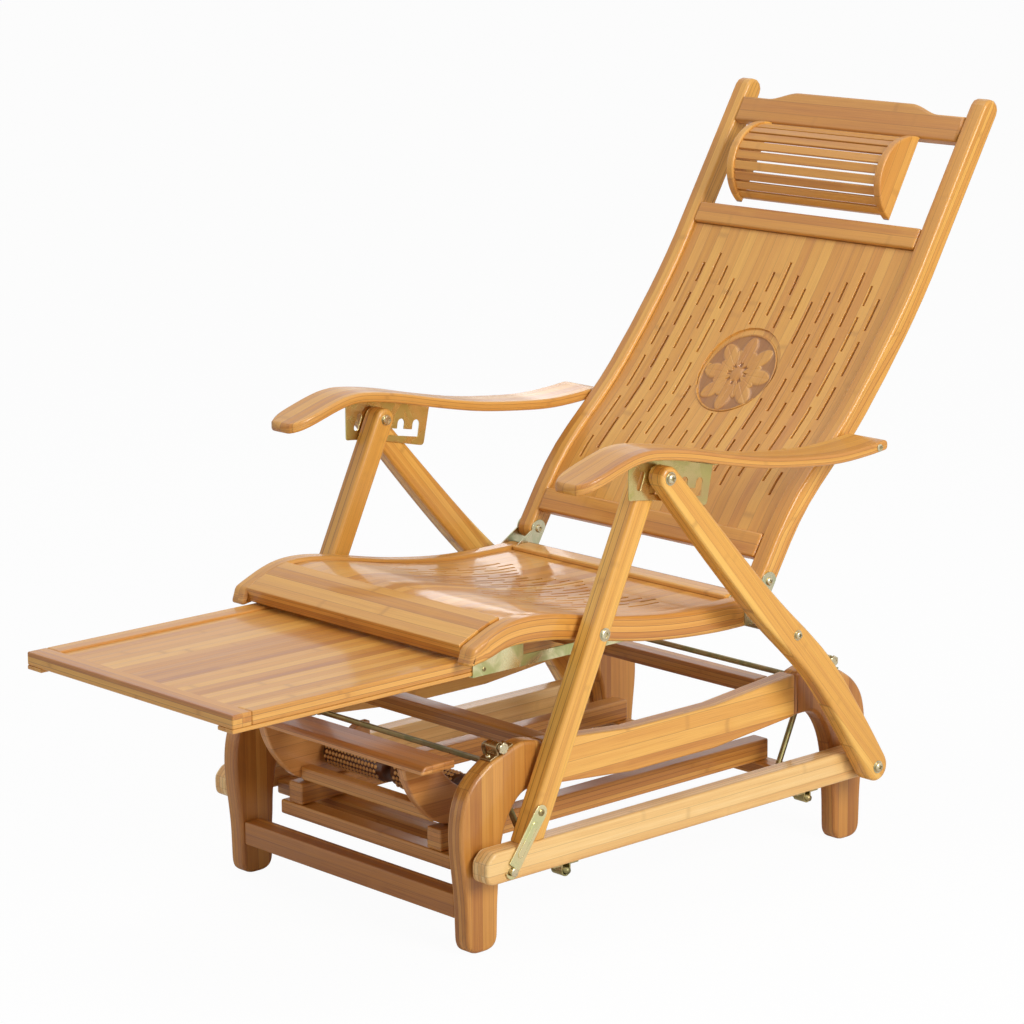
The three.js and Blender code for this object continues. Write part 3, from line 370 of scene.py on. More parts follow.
def slab(name, loops, low, high, rounding, body, material, slot="bamboo", steps=4, turn=None, **grain):
    """A board or plate of any outline between two X values, with its edges rounded over."""
    low, high = sorted((low, high))
    shape = bmesh.new()
    turns = [math.pi / 2 * step / steps for step in range(steps + 1)]
    profile = [
        (low + rounding * (1 - math.cos(angle)), rounding * (1 - math.sin(angle))) for angle in turns
    ]
    profile += [(high + low - x, inset) for x, inset in reversed(profile)]
    caps = ([], [])
    for loop in loops:
        inward = []
        for place, here in enumerate(loop):
            into = (here - loop[place - 1]).normalized()
            out = (loop[(place + 1) % len(loop)] - here).normalized()
            first, second = Vector((-into.y, into.x)), Vector((-out.y, out.x))
            inward.append((first + second) / max(1 + first.dot(second), 0.3))
        rings = [
            [shape.verts.new((x, *(here + way * inset))) for here, way in zip(loop, inward)]
            for x, inset in profile
        ]
        bridge(shape, rings)
        for cap, ring in zip(caps, (rings[0], rings[-1])):
            cap += [shape.edges.get((ring[place - 1], ring[place])) for place in range(len(loop))]
    for cap in caps:
        bmesh.ops.triangle_fill(shape, use_beauty=True, use_dissolve=False, edges=cap)
    if turn:
        bmesh.ops.transform(shape, matrix=turn, verts=shape.verts)
    return placed(name, closed_mesh(shape, name), body, material, slot, **grain)


def placed(name, mesh, body, material, slot, **grain):
    piece = new_piece(name, mesh, material, body)
    if grain:
        lay_grain(piece, **grain)
    piece.modifiers.new("even shading", "WEIGHTED_NORMAL").keep_sharp = True
    return piece


base_bamboo = lacquered_bamboo(
    "base bamboo", (0.66, 0.33, 0.066, 1), (0.48, 0.195, 0.028, 1), (0.28, 0.085, 0.010, 1)
)
beam_bamboo = lacquered_bamboo(
    "beam bamboo", (0.84, 0.49, 0.110, 1), (0.68, 0.32, 0.052, 1), (0.45, 0.160, 0.020, 1)
)
for side in sides:
    for end in ends:
        name = f"base_leg_{end}_{side}"
        low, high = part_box(name)
        outline = face_loops(name, 1)[0]
        while outline[0].y < foot_height or outline[-1].y >= foot_height:
            outline.append(outline.pop(0))
        shank = [spot for spot in outline if spot.y >= foot_height]
        first, last = shank[-1], shank[0]
        toe = toe_in if first.x < last.x else -toe_in
        foot = [Vector((first.x + toe, low.z)), Vector((last.x - toe, low.z))]
        leg = slab(
            f"rounded_{name}", [eased(shank + foot, foot_round)], low.x, high.x, base_round,
            "base", base_bamboo, along=axis_z, thick=axis_x,
        )
        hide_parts(name)
    finish_node(f"base_beam_{side}", beam_bamboo, base_round / 2, clamp=False, along=axis_y, thick=axis_x)


# Base cross bars: square bamboo battens, screwed between the side frames, with eased edges. One
# ties the front legs low down, and two tie the side frames higher up.
batten_round = 0.003
finish_node("base_low_bar", base_bamboo, batten_round, along=axis_x, thick=axis_y)
for end in ends:
    finish_node(f"base_high_bar_{end}", base_bamboo, batten_round, along=axis_x, thick=axis_z)


# Saddle clamps: straps pressed from 2.5 mm steel, yellow passivated, each held by two pan head
# screws. The passivation leaves a thin film that shifts from straw to green and rose.
clamp_steel = 0.0025
clamp_edge = 0.0006
clamp_tilt = math.radians(20)
clamp_screw_inset = 0.0070
clamp_screw_radius = 0.0038
clamp_screw_height = 0.0022


def yellow_zinc(name, straw, green, rose, roughness=0.30):
    material, tree, shader = new_finish(name)
    spot = object_spot(tree)
    cloud = add(tree, "ShaderNodeTexNoise", Vector=spot, Scale=26.0, Detail=3.0, Distortion=0.6)
    patch = add(tree, "ShaderNodeTexNoise", Vector=spot, Scale=9.0, Detail=1.0).outputs["Fac"]
    grit = add(tree, "ShaderNodeTexNoise", Vector=spot, Scale=900.0, Detail=2.0).outputs["Fac"]
    cloud = cloud.outputs["Fac"]
    film = blended(tree, between(tree, cloud, 0.40, 0.62), straw, green)
    film = blended(tree, between(tree, patch, 0.54, 0.72, 0.0, 0.7), film, rose)
    film = blended(tree, between(tree, grit, 0.60, 0.75, 0.0, 0.25), film, (0.2, 0.17, 0.10, 1))
    fill(tree, shader.inputs["Base Color"], film)
    dull = between(tree, cloud, 0.3, 0.7, roughness - 0.07, roughness + 0.10)
    fill(tree, shader.inputs["Roughness"], dull)
    bumpy(tree, shader.inputs["Normal"], grit, 0.12, 0.0003)
    shader.inputs["Metallic"].default_value = 1.0
    return material


def turned(profile, count=40):
    """A closed mesh turned about Z from (radius, height) pairs, with a flat at each end."""
    shape = bmesh.new()
    rings = []
    for radius, height in profile:
        ring = []
        for step in range(count):
            angle = 2 * math.pi * step / count
            reach = radius(angle) if callable(radius) else radius
            ring.append(shape.verts.new((reach * math.cos(angle), reach * math.sin(angle), height)))
        rings.append(ring)
    bridge(shape, rings)
    shape.faces.new(list(reversed(rings[0])))
    shape.faces.new(rings[-1])
    return closed_mesh(shape, "turned")


def fasten(name, mesh, spot, facing, body, material=None, crease=32, spin=0.0):
    """Sets a turned fastener on a surface, with its head facing outward."""
    mesh.set_sharp_from_angle(angle=math.radians(crease))
    piece = bpy.data.objects.new(name, mesh)
    bpy.context.scene.collection.objects.link(piece)
    turn = Vector(axis_z).rotation_difference(Vector(facing)).to_matrix().to_4x4()
    piece.matrix_world = Matrix.Translation(spot) @ turn @ Matrix.Rotation(spin, 4, "Z")
    smooth(mesh)
    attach(piece, body)
    return coat(piece, material or screw_zinc)


def pan_head(radius, height):
    def mouth(angle):
        wide = max(abs(math.cos(angle)), abs(math.sin(angle)))
        narrow = max(min(abs(math.cos(angle)), abs(math.sin(angle))), 0.0001)
        return min(radius * 0.52 / wide, radius * 0.13 / narrow)
    return turned([
        (radius * 0.92, -height * 0.3), (radius, height * 0.15), (radius * 0.97, height * 0.5),
        (radius * 0.82, height * 0.83), (radius * 0.62, height),
        (mouth, height * 1.02), (mouth, height * 0.35),
    ], 48)


def hexagon(half):
    return lambda angle: half / math.cos((angle % (math.pi / 3)) - math.pi / 6)


def socket_head(radius, height):
    mouth = hexagon(radius * 0.48)
    return turned([
        (radius * 0.9, -height * 0.3), (radius, 0.0), (radius, height * 0.45),
        (radius * 0.86, height * 0.85), (radius * 0.66, height),
        (mouth, height), (mouth, height * 0.2),
    ], 48)


clamp_zinc = yellow_zinc(
    "clamp zinc", (0.52, 0.41, 0.20, 1), (0.34, 0.32, 0.14, 1), (0.40, 0.26, 0.14, 1), 0.27
)
screw_zinc = yellow_zinc(
    "screw zinc", (0.66, 0.56, 0.36, 1), (0.50, 0.50, 0.34, 1), (0.56, 0.40, 0.28, 1), 0.28
)
pivots = {joint["name"]: Vector(joint["pos_m"]) for joint in frame["joints"] if "pos_m" in joint}
clamp_pivots = {
    "upper_rear": pivots["swing"],
    "upper_front": pivots["front_bail_swing"],
    "lower_rear": pivots["swing_frame_pivot"],
}
for side in sides:
    for end in ends:
        for level, body in (("upper", "base"), ("lower", "swing_frame")):
            name = f"{level}_clamp_{end}_{side}"
            clamp = finish_node(name, clamp_zinc, clamp_edge, 2)
            low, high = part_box(name)
            middle = (low + high) / 2
            pivot = clamp_pivots.get(
                f"{level}_{end}", Vector((0, middle.y, pivots["swing_frame_pivot"].z))
            )
            tilt = (clamp_tilt if end == "front" else -clamp_tilt) if level == "upper" else 0.0
            foot_side = Vector((0, math.cos(tilt), math.sin(tilt)))
            up = Vector((0, -math.sin(tilt), math.cos(tilt))) if level == "upper" else Vector((0, 0, -1))
            points = spots(clamp.data) - np.array(pivot)
            reach = points @ np.array(foot_side)
            rise = (points @ np.array(up)).min()
            for way, far in ((1, reach.max()), (-1, reach.min())):
                seat = Vector((middle.x, pivot.y, pivot.z)) + foot_side * (far - way * clamp_screw_inset)
                fasten(
                    f"{name}_screw_{'rear' if way > 0 else 'front'}",
                    pan_head(clamp_screw_radius, clamp_screw_height),
                    seat + up * (rise + clamp_steel), up, body, spin=0.4 * way,
                )


# Bails: 9 mm steel rod bent to two hangers, with a cross rod welded between them, bronze in
# colour under the same passivation, and a nut on each end that stands out of its clamp.
rod_radius = 0.0045
rod_nut_half = 0.0075
rod_nut_thick = 0.0030
rod_nut_sink = 0.0002
rod_zinc = yellow_zinc(
    "rod zinc", (0.36, 0.27, 0.12, 1), (0.24, 0.23, 0.10, 1), (0.33, 0.20, 0.11, 1), 0.34
)


def hex_nut(half, thick):
    corners = hexagon(half)
    return turned([
        (half * 0.95, 0.0), (corners, thick * 0.14), (corners, thick * 0.80), (half * 0.95, thick),
        (half * 0.62, thick), (half * 0.56, thick * 0.8), (half * 0.50, thick * 0.8),
    ], 48)


for end, top in (("front", pivots["front_bail_swing"]), ("rear", pivots["swing"])):
    name = f"bail_{end}"
    body = f"{end}_bail"
    bail = coat(frame["nodes"][name], rod_zinc)
    bail.modifiers.new("joined", "WELD").merge_threshold = 0.00001
    smooth(bail.data)
    points = spots(bail.data)
    reach_top = np.abs(points[points[:, 2] > top.z - rod_radius][:, 0]).max()
    for side, way in sides.items():
        fasten(
            f"{name}_nut_{side}", hex_nut(rod_nut_half, rod_nut_thick),
            Vector((way * (reach_top - rod_nut_sink), top.y, top.z)), (way, 0, 0), body, crease=30,
        )


# Runners of the swing frame: long battens with dubbed ends, paler than the base, each with a
# steel stud for its latch link, and two cross bars screwed up under them.
runner_thick = 0.032
runner_round = 0.004
runner_nose = 0.016
foot_spacer = (0.011, 0.004, 0.0036)
stud_cap_radius = 0.0062
link_reach = Vector((0, -0.054, -0.072))
pale_bamboo = lacquered_bamboo(
    "pale bamboo", (0.90, 0.67, 0.33, 1), (0.80, 0.50, 0.18, 1), (0.60, 0.29, 0.070, 1)
)


def washer(radius, hole, thick):
    return turned([
        (hole, 0.0), (radius * 0.97, 0.0), (radius, thick * 0.4), (radius * 0.97, thick), (hole, thick),
    ])


def outer_inner(name, way):
    """X of a piece's outer and inner faces on a side of the chair."""
    low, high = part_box(name)
    return (high.x, low.x) if way > 0 else (low.x, high.x)


def on_face(face, pivot):
    return Vector((face, pivot.y, pivot.z))


for side, way in sides.items():
    name = f"runner_{side}"
    tip, near = outer_inner(name, way)
    far = near + way * runner_thick
    runner = slab(
        f"dubbed_{name}", [eased(face_loops(name, -way)[0], runner_nose)], near, far, runner_round,
        "swing_frame", pale_bamboo, along=axis_y, thick=axis_x, strip=0.015,
    )
    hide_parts(name)
    fasten(
        f"foot_spacer_{side}", washer(*foot_spacer), on_face(far, pivots["fold"]), (way, 0, 0),
        "swing_frame",
    )
    stud = turned([
        (0.0053, -0.0078), (0.0053, -0.0022), (stud_cap_radius, -0.0018), (stud_cap_radius, 0.0002),
        (0.0050, 0.0012), (0.0020, 0.0015),
    ])
    stud_spot = on_face(tip, pivots["latch_left_hook"] + link_reach)
    fasten(f"latch_stud_{side}", stud, stud_spot, (way, 0, 0), "swing_frame")
for end in ends:
    finish_node(f"swing_bar_{end}", base_bamboo, batten_round, along=axis_x, thick=axis_z)


# Tray rails: two battens along the swing frame, screwed on its cross bars and tied across the
# front, that carry the tray.
for side in sides:
    finish_node(f"tray_rail_{side}", base_bamboo, batten_round, along=axis_y, thick=axis_z)
finish_node("tray_rail_tie", base_bamboo, batten_round, along=axis_x, thick=axis_z)


# Foot roller tray: a front board on two shaped cheeks with a batten between them. The board's
# upper front edge is rounded over where the calves rest.
tray_round = 0.005
cheek_round = 0.003
tray_bamboo = lacquered_bamboo(
    "tray bamboo", (0.72, 0.360, 0.110, 1), (0.55, 0.235, 0.055, 1), (0.34, 0.110, 0.020, 1), 0.12
)
finish_node("tray_board", tray_bamboo, tray_round, 4, along=axis_x, thick=axis_z)
for side, way in sides.items():
    name = f"tray_cheek_{side}"
    cheek = slab(
        f"shaped_{name}", [eased(face_loops(name, 1)[0])], *outer_inner(name, way), cheek_round,
        "tray", tray_bamboo, along=axis_y, thick=axis_x,
    )
    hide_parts(name)
finish_node("tray_tie", base_bamboo, batten_round, along=axis_x, thick=axis_z)


# Foot rollers: dark turned drums covered with rows of small pressed beads, on steel stub axles. The
# beads are painted lighter towards their tips, a painted highlight over the dark drum between them.
bead_radius = 0.0034
bead_pitch = 0.0072
bead_rows = 18
drum_radius = 0.0208
axle_radius = 0.0045
axle_stub = 0.0042


def beaded_finish(name, dark, lit_tip):
    material, tree, shader = new_finish(name)
    spot = object_spot(tree)
    streak = add(tree, "ShaderNodeMapping", Vector=spot, Scale=(40.0, 420.0, 420.0)).outputs[0]
    fibre = add(tree, "ShaderNodeTexNoise", Vector=streak, Scale=1.0, Detail=3.0).outputs["Fac"]
    cloud = add(tree, "ShaderNodeTexNoise", Vector=spot, Scale=120.0, Detail=2.0).outputs["Fac"]
    place = add(tree, "ShaderNodeSeparateXYZ", Vector=spot)
    square = sums(tree, "MULTIPLY", place.outputs["X"], place.outputs["X"])
    square = sums(tree, "MULTIPLY_ADD", place.outputs["Y"], place.outputs["Y"], square)
    # Painted highlight: the beads turn lighter the further they stand out from the drum, which stays dark
    height = between(tree, sums(tree, "SQRT", square), drum_radius, drum_radius + bead_radius * 0.7)
    tone = sums(tree, "MULTIPLY_ADD", fibre, 0.5, sums(tree, "MULTIPLY", height, 0.6))
    fill(tree, shader.inputs["Base Color"], blended(tree, between(tree, tone, 0.30, 0.85), dark, lit_tip))
    bumpy(tree, shader.inputs["Normal"], fibre, 0.25, 0.0004)
    fill(tree, shader.inputs["Roughness"], between(tree, cloud, 0.3, 0.7, 0.34, 0.5))
    shader.inputs["Coat Weight"].default_value = 0.35
    shader.inputs["Coat Roughness"].default_value = 0.2
    return material


def beaded_roller(length):
    half = [
        (axle_radius, length / 2), (axle_radius, length / 2 - axle_stub),
        (drum_radius - 0.002, length / 2 - axle_stub), (drum_radius, length / 2 - 0.0060),
    ]
    shape = bmesh.new()
    shape.from_mesh(turned([(radius, -height) for radius, height in half] + half[::-1], 36))
    count = int((length - 0.016) / bead_pitch)
    for row in range(bead_rows):
        angle = 2 * math.pi * row / bead_rows
        for place in range(count):
            along = (place - (count - 1) / 2 + (0.5 if row % 2 else 0.0)) * bead_pitch
            spot = Vector((drum_radius * math.cos(angle), drum_radius * math.sin(angle), along))
            bmesh.ops.create_icosphere(
                shape, subdivisions=2, radius=bead_radius, matrix=Matrix.Translation(spot)
            )
    return closed_mesh(shape, "beaded roller")


beaded = beaded_finish("beaded roller", (0.10, 0.030, 0.006, 1), (0.66, 0.330, 0.090, 1))
for side, way in sides.items():
    name = f"roller_{side}"
    low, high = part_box(name)
    roller = fasten(
        f"beaded_{name}", beaded_roller(high.x - low.x), (low + high) / 2, (way, 0, 0), name,
        beaded, 50,
    )
    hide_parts(name)


# Rear legs: bowed limbs bent from bamboo laths, with the edges rounded over. They turn on bolts
# at the runners' rear ends and share one bolt with the posts under the arms.
leg_thick = 0.030
limb_round = 0.0055
limb_grain = {"thick": axis_x, "strip": 0.0095, "layer": 0.010}
limb_bamboo = lacquered_bamboo(
    "limb bamboo", (0.88, 0.53, 0.110, 1), (0.72, 0.36, 0.054, 1), (0.45, 0.160, 0.020, 1)
)
washer_thick = 0.0010


def pivot_bolt(name, spot, facing, body, head=socket_head, radius=0.0075, height=0.0042):
    fasten(f"{name}_washer", washer(radius * 1.3, radius * 0.5, washer_thick), spot, facing, body)
    fasten(
        f"{name}_head", head(radius, height), spot + Vector(facing) * washer_thick, facing, body, spin=0.3
    )


for side, way in sides.items():
    name = f"rear_leg_{side}"
    face, _ = outer_inner(name, way)
    leg = slab(
        f"bowed_{name}", [eased(face_loops(name, way)[0])], face, face - way * leg_thick, limb_round,
        "rear_legs", limb_bamboo, **limb_grain,
    )
    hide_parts(name)
    for label, pivot in (("crossing", pivots["post_fold"]), ("foot", pivots["fold"])):
        pivot_bolt(f"{label}_bolt_{side}", on_face(face, pivot), (way, 0, 0), "rear_legs", pan_head)


# Rest rod: a 10 mm steel bar between the rear legs, under the seat, held by a pan head screw and
# a washer at each end.
rod_screw_radius = 0.0060
rod_edge = 0.0008
rod_steel = yellow_zinc(
    "rest rod zinc", (0.42, 0.34, 0.18, 1), (0.30, 0.30, 0.15, 1), (0.36, 0.25, 0.15, 1), 0.30
)
rod_low, rod_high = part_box("rest_rod")
rod_middle = (rod_low + rod_high) / 2
soften(coat(frame["nodes"]["rest_rod"], rod_steel), rod_edge, 2)
for side, way in sides.items():
    face, _ = outer_inner(f"rear_leg_{side}", way)
    pivot_bolt(
        f"rest_rod_bolt_{side}", on_face(face, rod_middle), (way, 0, 0), "rear_legs", pan_head,
        rod_screw_radius,
    )


# Posts: straight limbs that stand on the runners, of the same laths as the rear legs. The seat's
# side rails turn on a socket bolt through each of them.
post_thick = 0.032
seat_bush_radius = 0.009
seat_head_height = 0.0024
crossing_nut_place = 0.266
crossing_nut_half = 0.0065
for side, way in sides.items():
    name = f"post_{side}"
    face, bush_end = outer_inner(name, way)
    inner = face - way * post_thick
    post = slab(
        f"straight_{name}", [eased(face_loops(name, way)[0])], face, inner, limb_round,
        "posts", limb_bamboo, **limb_grain,
    )
    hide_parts(name)
    bush = turned([
        (seat_bush_radius - 0.0006, 0.0002), (seat_bush_radius, 0.0010),
        (seat_bush_radius, abs(inner - bush_end) + 0.001),
    ])
    seat_pivot = pivots["seat_fold"]
    fasten(f"seat_bush_{side}", bush, on_face(bush_end, seat_pivot), (way, 0, 0), "posts")
    pivot_bolt(
        f"seat_bolt_{side}", on_face(face, seat_pivot), (way, 0, 0), "posts", height=seat_head_height
    )
    pivot_bolt(
        f"crossing_nut_{side}", on_face(way * crossing_nut_place, pivots["post_fold"]), (-way, 0, 0),
        "posts", hex_nut, crossing_nut_half,
    )


# Latch links: stamped plates of yellow passivated steel that hang on the posts and hook over the
# studs, with a long pressed rib down the middle and a rivet at the top.
link_corner = 0.002
link_edge = 0.0005
link_rivet_radius = 0.0052
link_rib_half = 0.0050
link_rib_lift = 0.0007
link_rib_edge = 0.0006
link_rib_start = 0.020
link_rib_end = 0.064
link_zinc = yellow_zinc(
    "link zinc", (0.78, 0.68, 0.38, 1), (0.66, 0.66, 0.34, 1), (0.72, 0.58, 0.34, 1), 0.24
)


def long_round(ends_of_run, half, lean):
    """Outline of a straight slot: half a turn about one end, then about the other."""
    outline = []
    for place, middle in enumerate(ends_of_run):
        for step in range(9):
            angle = lean + math.pi * place + math.pi * step / 8
            outline.append(middle + Vector((math.cos(angle), math.sin(angle))) * half)
    return outline


hang = Vector(link_reach.yz).normalized()
for side, way in sides.items():
    name = f"latch_link_{side}"
    body = f"latch_{side}"
    face, back = outer_inner(name, way)
    link = slab(
        f"pressed_{name}", [eased(face_loops(name, way)[0], link_corner)], face, back, link_edge,
        body, link_zinc, "brass",
    )
    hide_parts(name)
    pivot = pivots[f"latch_{side}_hook"]
    rib = long_round(
        [Vector(pivot.yz) + hang * run for run in (link_rib_end, link_rib_start)], link_rib_half,
        math.atan2(hang.y, hang.x) - math.pi / 2,
    )
    slab(
        f"link_rib_{side}", [rib], face, face + way * link_rib_lift, link_rib_edge, body, link_zinc,
        "brass",
    )
    rivet = turned([
        (link_rivet_radius * 0.9, -0.0026), (link_rivet_radius, 0.0), (link_rivet_radius * 0.95, 0.0010),
        (link_rivet_radius * 0.7, 0.0019), (link_rivet_radius * 0.32, 0.0022),
        (link_rivet_radius * 0.25, 0.0012),
    ])
    fasten(f"link_rivet_{side}", rivet, on_face(face, pivot), (way, 0, 0), body, rod_zinc)


# Seat rails: laths bent to a wave and pressed into one piece, so the layers run along the curve,
# with rounded edges and a rounded nose at the front.
seat_round = 0.006
rail_layer = 0.0085
nose_radius = 0.013
seat_bamboo = lacquered_bamboo(
    "seat bamboo", (0.80, 0.43, 0.090, 1), (0.64, 0.29, 0.042, 1), (0.40, 0.135, 0.016, 1), 0.09
)
for side, way in sides.items():
    name = f"seat_rail_{side}"
    rail = slab(
        f"bent_{name}", [eased(face_loops(name, 1)[0], nose_radius)], *outer_inner(name, way), seat_round,
        "seat", seat_bamboo, along=axis_y, thick=axis_z, bent=True, layer=rail_layer,
    )
    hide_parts(name)


# Seat bars and panel: a rounded front bar, a rear bar and a slotted panel of strips laid front to
# back, let in between the rails and polished to a high gloss.
front_lip = 0.0034
front_lean = 0.0010
front_corner = 0.002
front_bar_edge = 0.0012
seat_bar_round = 0.003
panel_edge = 0.0006
low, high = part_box("seat_front_bar")
bar_outline = [
    spot - Vector((front_lean, front_lip)) if spot.y < low.z + 0.001 else spot
    for spot in face_loops("seat_front_bar", 1)[0]
]
front_bar = slab(
    "rounded_seat_front_bar", [eased(bar_outline, front_corner)], low.x, high.x, front_bar_edge,
    "seat", seat_bamboo, steps=2, along=axis_x, layer=0.0065,
)
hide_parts("seat_front_bar")
finish_node("seat_rear_bar", seat_bamboo, seat_bar_round, along=axis_x)
finish_node(
    "seat_panel", seat_bamboo, panel_edge, 2, clamp=False,
    along=axis_y, thick=axis_z, bent=True, layer=0.004,
)


# Slide angles: folded steel angles under the seat rails, with green and straw passivation, that
# carry the footrest. A screw holds each tab to its rail, and a web closes the front corner.
angle_steel = 0.002
angle_edge = 0.0004
web_length = 0.075
web_lap = 0.004
web_foot = 0.012
web_gap = 0.0001
web_rise = 0.045
tab_middle = 0.0816
tab_screw_rise = 0.0325
tab_screw_radius = 0.0034
rivet_radius = 0.0032
low_head_height = 0.0010
rivet_rise = 0.009
rivet_places = {"front": 0.020, "middle": 0.200, "rear": 0.350}
slide_zinc = yellow_zinc(
    "slide zinc", (0.78, 0.72, 0.42, 1), (0.46, 0.48, 0.20, 1), (0.60, 0.48, 0.26, 1), 0.30
)
for side, way in sides.items():
    name = f"slide_angle_{side}"
    finish_node(name, slide_zinc, angle_edge, 2)
    low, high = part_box(name)
    face, _ = outer_inner(name, way)
    inner_face = face - way * angle_steel
    rail_foot = sorted((
        spot + Vector((0, web_lap)) for spot in face_loops(f"seat_rail_{side}", 1)[0]
        if low.y < spot.x < low.y + web_length and spot.y < low.z + web_rise
    ), key=lambda spot: -spot.x)
    web = [
        Vector((low.y, low.z + web_foot)), Vector((low.y + web_length, low.z + web_foot)),
        Vector((low.y + web_length, rail_foot[0].y)), *rail_foot, Vector((low.y, rail_foot[-1].y)),
    ]
    slab(
        f"slide_web_{side}", [web], inner_face + way * web_gap, face - way * web_gap, angle_edge,
        "seat", slide_zinc, "zinc", steps=2,
    )
    fasten(
        f"slide_screw_{side}", pan_head(tab_screw_radius, low_head_height),
        Vector((inner_face, low.y + tab_middle, low.z + tab_screw_rise)), (-way, 0, 0), "seat",
        spin=0.6,
    )
    for label, reach in rivet_places.items():
        fasten(
            f"slide_rivet_{side}_{label}", pan_head(rivet_radius, low_head_height),
            Vector((face, low.y + reach, low.z + rivet_rise)), (way, 0, 0), "seat",
            rod_zinc, spin=reach * 5,
        )


# Footrest: a framed board that pulls out from under the seat. Two side rails butt against the
# full-width front and rear rails, a panel of strips lies in the frame, and hardwood battens below
# run in the slide angles.
rest_rail = 0.032
rest_tail = 0.058
rest_thick = 0.019
panel_recess = 0.003
panel_thick = 0.012
tail_thick = 0.011
hair = 0.0002
rest_round = 0.0022
rear_rail_round = 0.0015
rest_panel_edge = 0.0008
rest_batten_edge = 0.0012
rest_panel_strip = 0.017
rest_bamboo = lacquered_bamboo(
    "footrest bamboo", (0.78, 0.42, 0.085, 1), (0.60, 0.26, 0.036, 1), (0.33, 0.095, 0.011, 1), 0.13, 0.66
)


def rest_board(name, first, last, rounding, along, strip=strip_width):
    """A planed board of the footrest between two corners, with eased edges."""
    shape = bmesh.new()
    bmesh.ops.create_cube(shape, size=1.0)
    for vertex in shape.verts:
        for axis in range(3):
            limit = max if vertex.co[axis] > 0 else min
            vertex.co[axis] = limit(first[axis], last[axis])
    bmesh.ops.subdivide_edges(
        shape, edges=[edge for edge in shape.edges if edge.calc_length() > 0.2], cuts=6, use_grid_fill=True
    )
    piece = new_piece(name, closed_mesh(shape, name), rest_bamboo, "footrest")
    lay_grain(piece, along=along, thick=axis_z, strip=strip)
    soften(piece, rounding, 3, clamp=False, weld=False)
    return piece


rest_low, rest_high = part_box("footrest")
rest_front = rest_low.y + rest_rail
rest_rear = rest_high.y - rest_tail
rest_floor = rest_high.z - rest_thick
panel_top = rest_high.z - panel_recess
inside = rest_high.x - rest_rail
front_rail = rest_board(
    "footrest_front_rail", (rest_low.x, rest_low.y, rest_floor), (rest_high.x, rest_front, rest_high.z),
    rest_round, axis_x,
)
rest_board(
    "footrest_rear_rail", (-inside, rest_rear - rest_rail, rest_floor), (inside, rest_rear, panel_top),
    rear_rail_round, axis_x,
)
rest_board(
    "footrest_panel", (-inside, rest_front, panel_top - panel_thick),
    (inside, rest_rear - rest_rail, panel_top), rest_panel_edge, axis_y, rest_panel_strip,
)
for side, way in sides.items():
    outer, inner = way * rest_high.x, way * (inside + hair)
    rest_board(
        f"footrest_side_rail_{side}", (outer, rest_front + hair, rest_floor),
        (inner, rest_rear, rest_high.z), rest_round, axis_y,
    )
    rest_board(
        f"footrest_batten_{side}", (outer, rest_low.y, rest_low.z), (inner, rest_rear, rest_floor),
        rest_batten_edge, axis_y,
    )
    rest_board(
        f"footrest_tail_{side}", (outer, rest_rear, rest_low.z),
        (inner, rest_high.y, rest_low.z + tail_thick), rest_batten_edge, axis_y,
    )
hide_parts("footrest")


# Back rails: long laths bent to the curve of the back, rounded over along their length, with
# rounded ends.
back_round = 0.0048
back_bamboo = lacquered_bamboo(
    "back bamboo", (0.82, 0.45, 0.092, 1), (0.68, 0.32, 0.050, 1), (0.47, 0.170, 0.022, 1), 0.14
)
for side in sides:
    finish_node(
        f"back_rail_{side}", back_bamboo, back_round, 4, clamp=False,
        along=axis_z, thick=axis_y, bent=True, layer=0.008,
    )


# Back bars and top rail: boards let in between the rails, the top one with a raised middle between
# two swept shoulders, all left plain, with the edges rounded.
bar_round = 0.004
top_round = 0.0045
top_lift = 0.007
shoulder_start = 0.117
shoulder_end = 0.176
finish_node("back_lower_bar", back_bamboo, bar_round, along=axis_x)
finish_node("back_upper_bar", back_bamboo, bar_round, along=axis_x)
top_bamboo = lacquered_bamboo(
    "top rail bamboo", (0.72, 0.37, 0.078, 1), (0.56, 0.24, 0.038, 1), (0.38, 0.125, 0.016, 1), 0.14
)


def end_face(name):
    """The corners of a piece's end, with its way up the back and its way out of it."""
    points = spots(frame["nodes"][name].data)
    corners = np.unique(points[points[:, 0] > points[:, 0].max() - 0.0001][:, 1:].round(5), axis=0)
    along = np.linalg.eigh(np.cov((corners - corners.mean(0)).T))[1][:, 1]
    up = Vector(along) * (1 if along[1] > 0 else -1)
    return points, corners, up, Vector((-up.y, up.x))


top_points, end_points, top_up, top_out = end_face("back_top_rail")
top_rises = top_points[:, 1:] @ np.array(top_up) + top_lift
top_depths = top_points[:, 1:] @ np.array(top_out)
shoulder_rise = (end_points @ np.array(top_up)).max() + top_lift
crest = []
for step in range(25):
    share = step / 24
    swell = share * share * (3 - 2 * share)
    crest.append(Vector((
        shoulder_end + (shoulder_start - shoulder_end) * share,
        shoulder_rise + (top_rises.max() - shoulder_rise) * swell,
    )))
half_outline = [Vector((top_points[:, 0].max(), rise)) for rise in (top_rises.min(), shoulder_rise)] + crest
mirrored = [Vector((-spot.x, spot.y)) for spot in reversed(half_outline)]
top_turn = Matrix((
    (0, top_out.x, top_out.y), axis_x, (0, top_up.x, top_up.y)
)).transposed().to_4x4()
top_rail = slab(
    "crested_back_top_rail", [mirrored[-1:] + half_outline + mirrored[:-1]],
    top_depths.min(), top_depths.max(), top_round, "back", top_bamboo, turn=top_turn, along=axis_x,
)
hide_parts("back_top_rail")


# Back panel: a thin curved board of strips that run up the back, with rows of milled slots and a
# round sunken medallion.
finish_node(
    "back_panel", back_bamboo, panel_edge, 2, clamp=False,
    along=axis_z, thick=axis_y, bent=True, layer=0.005,
)
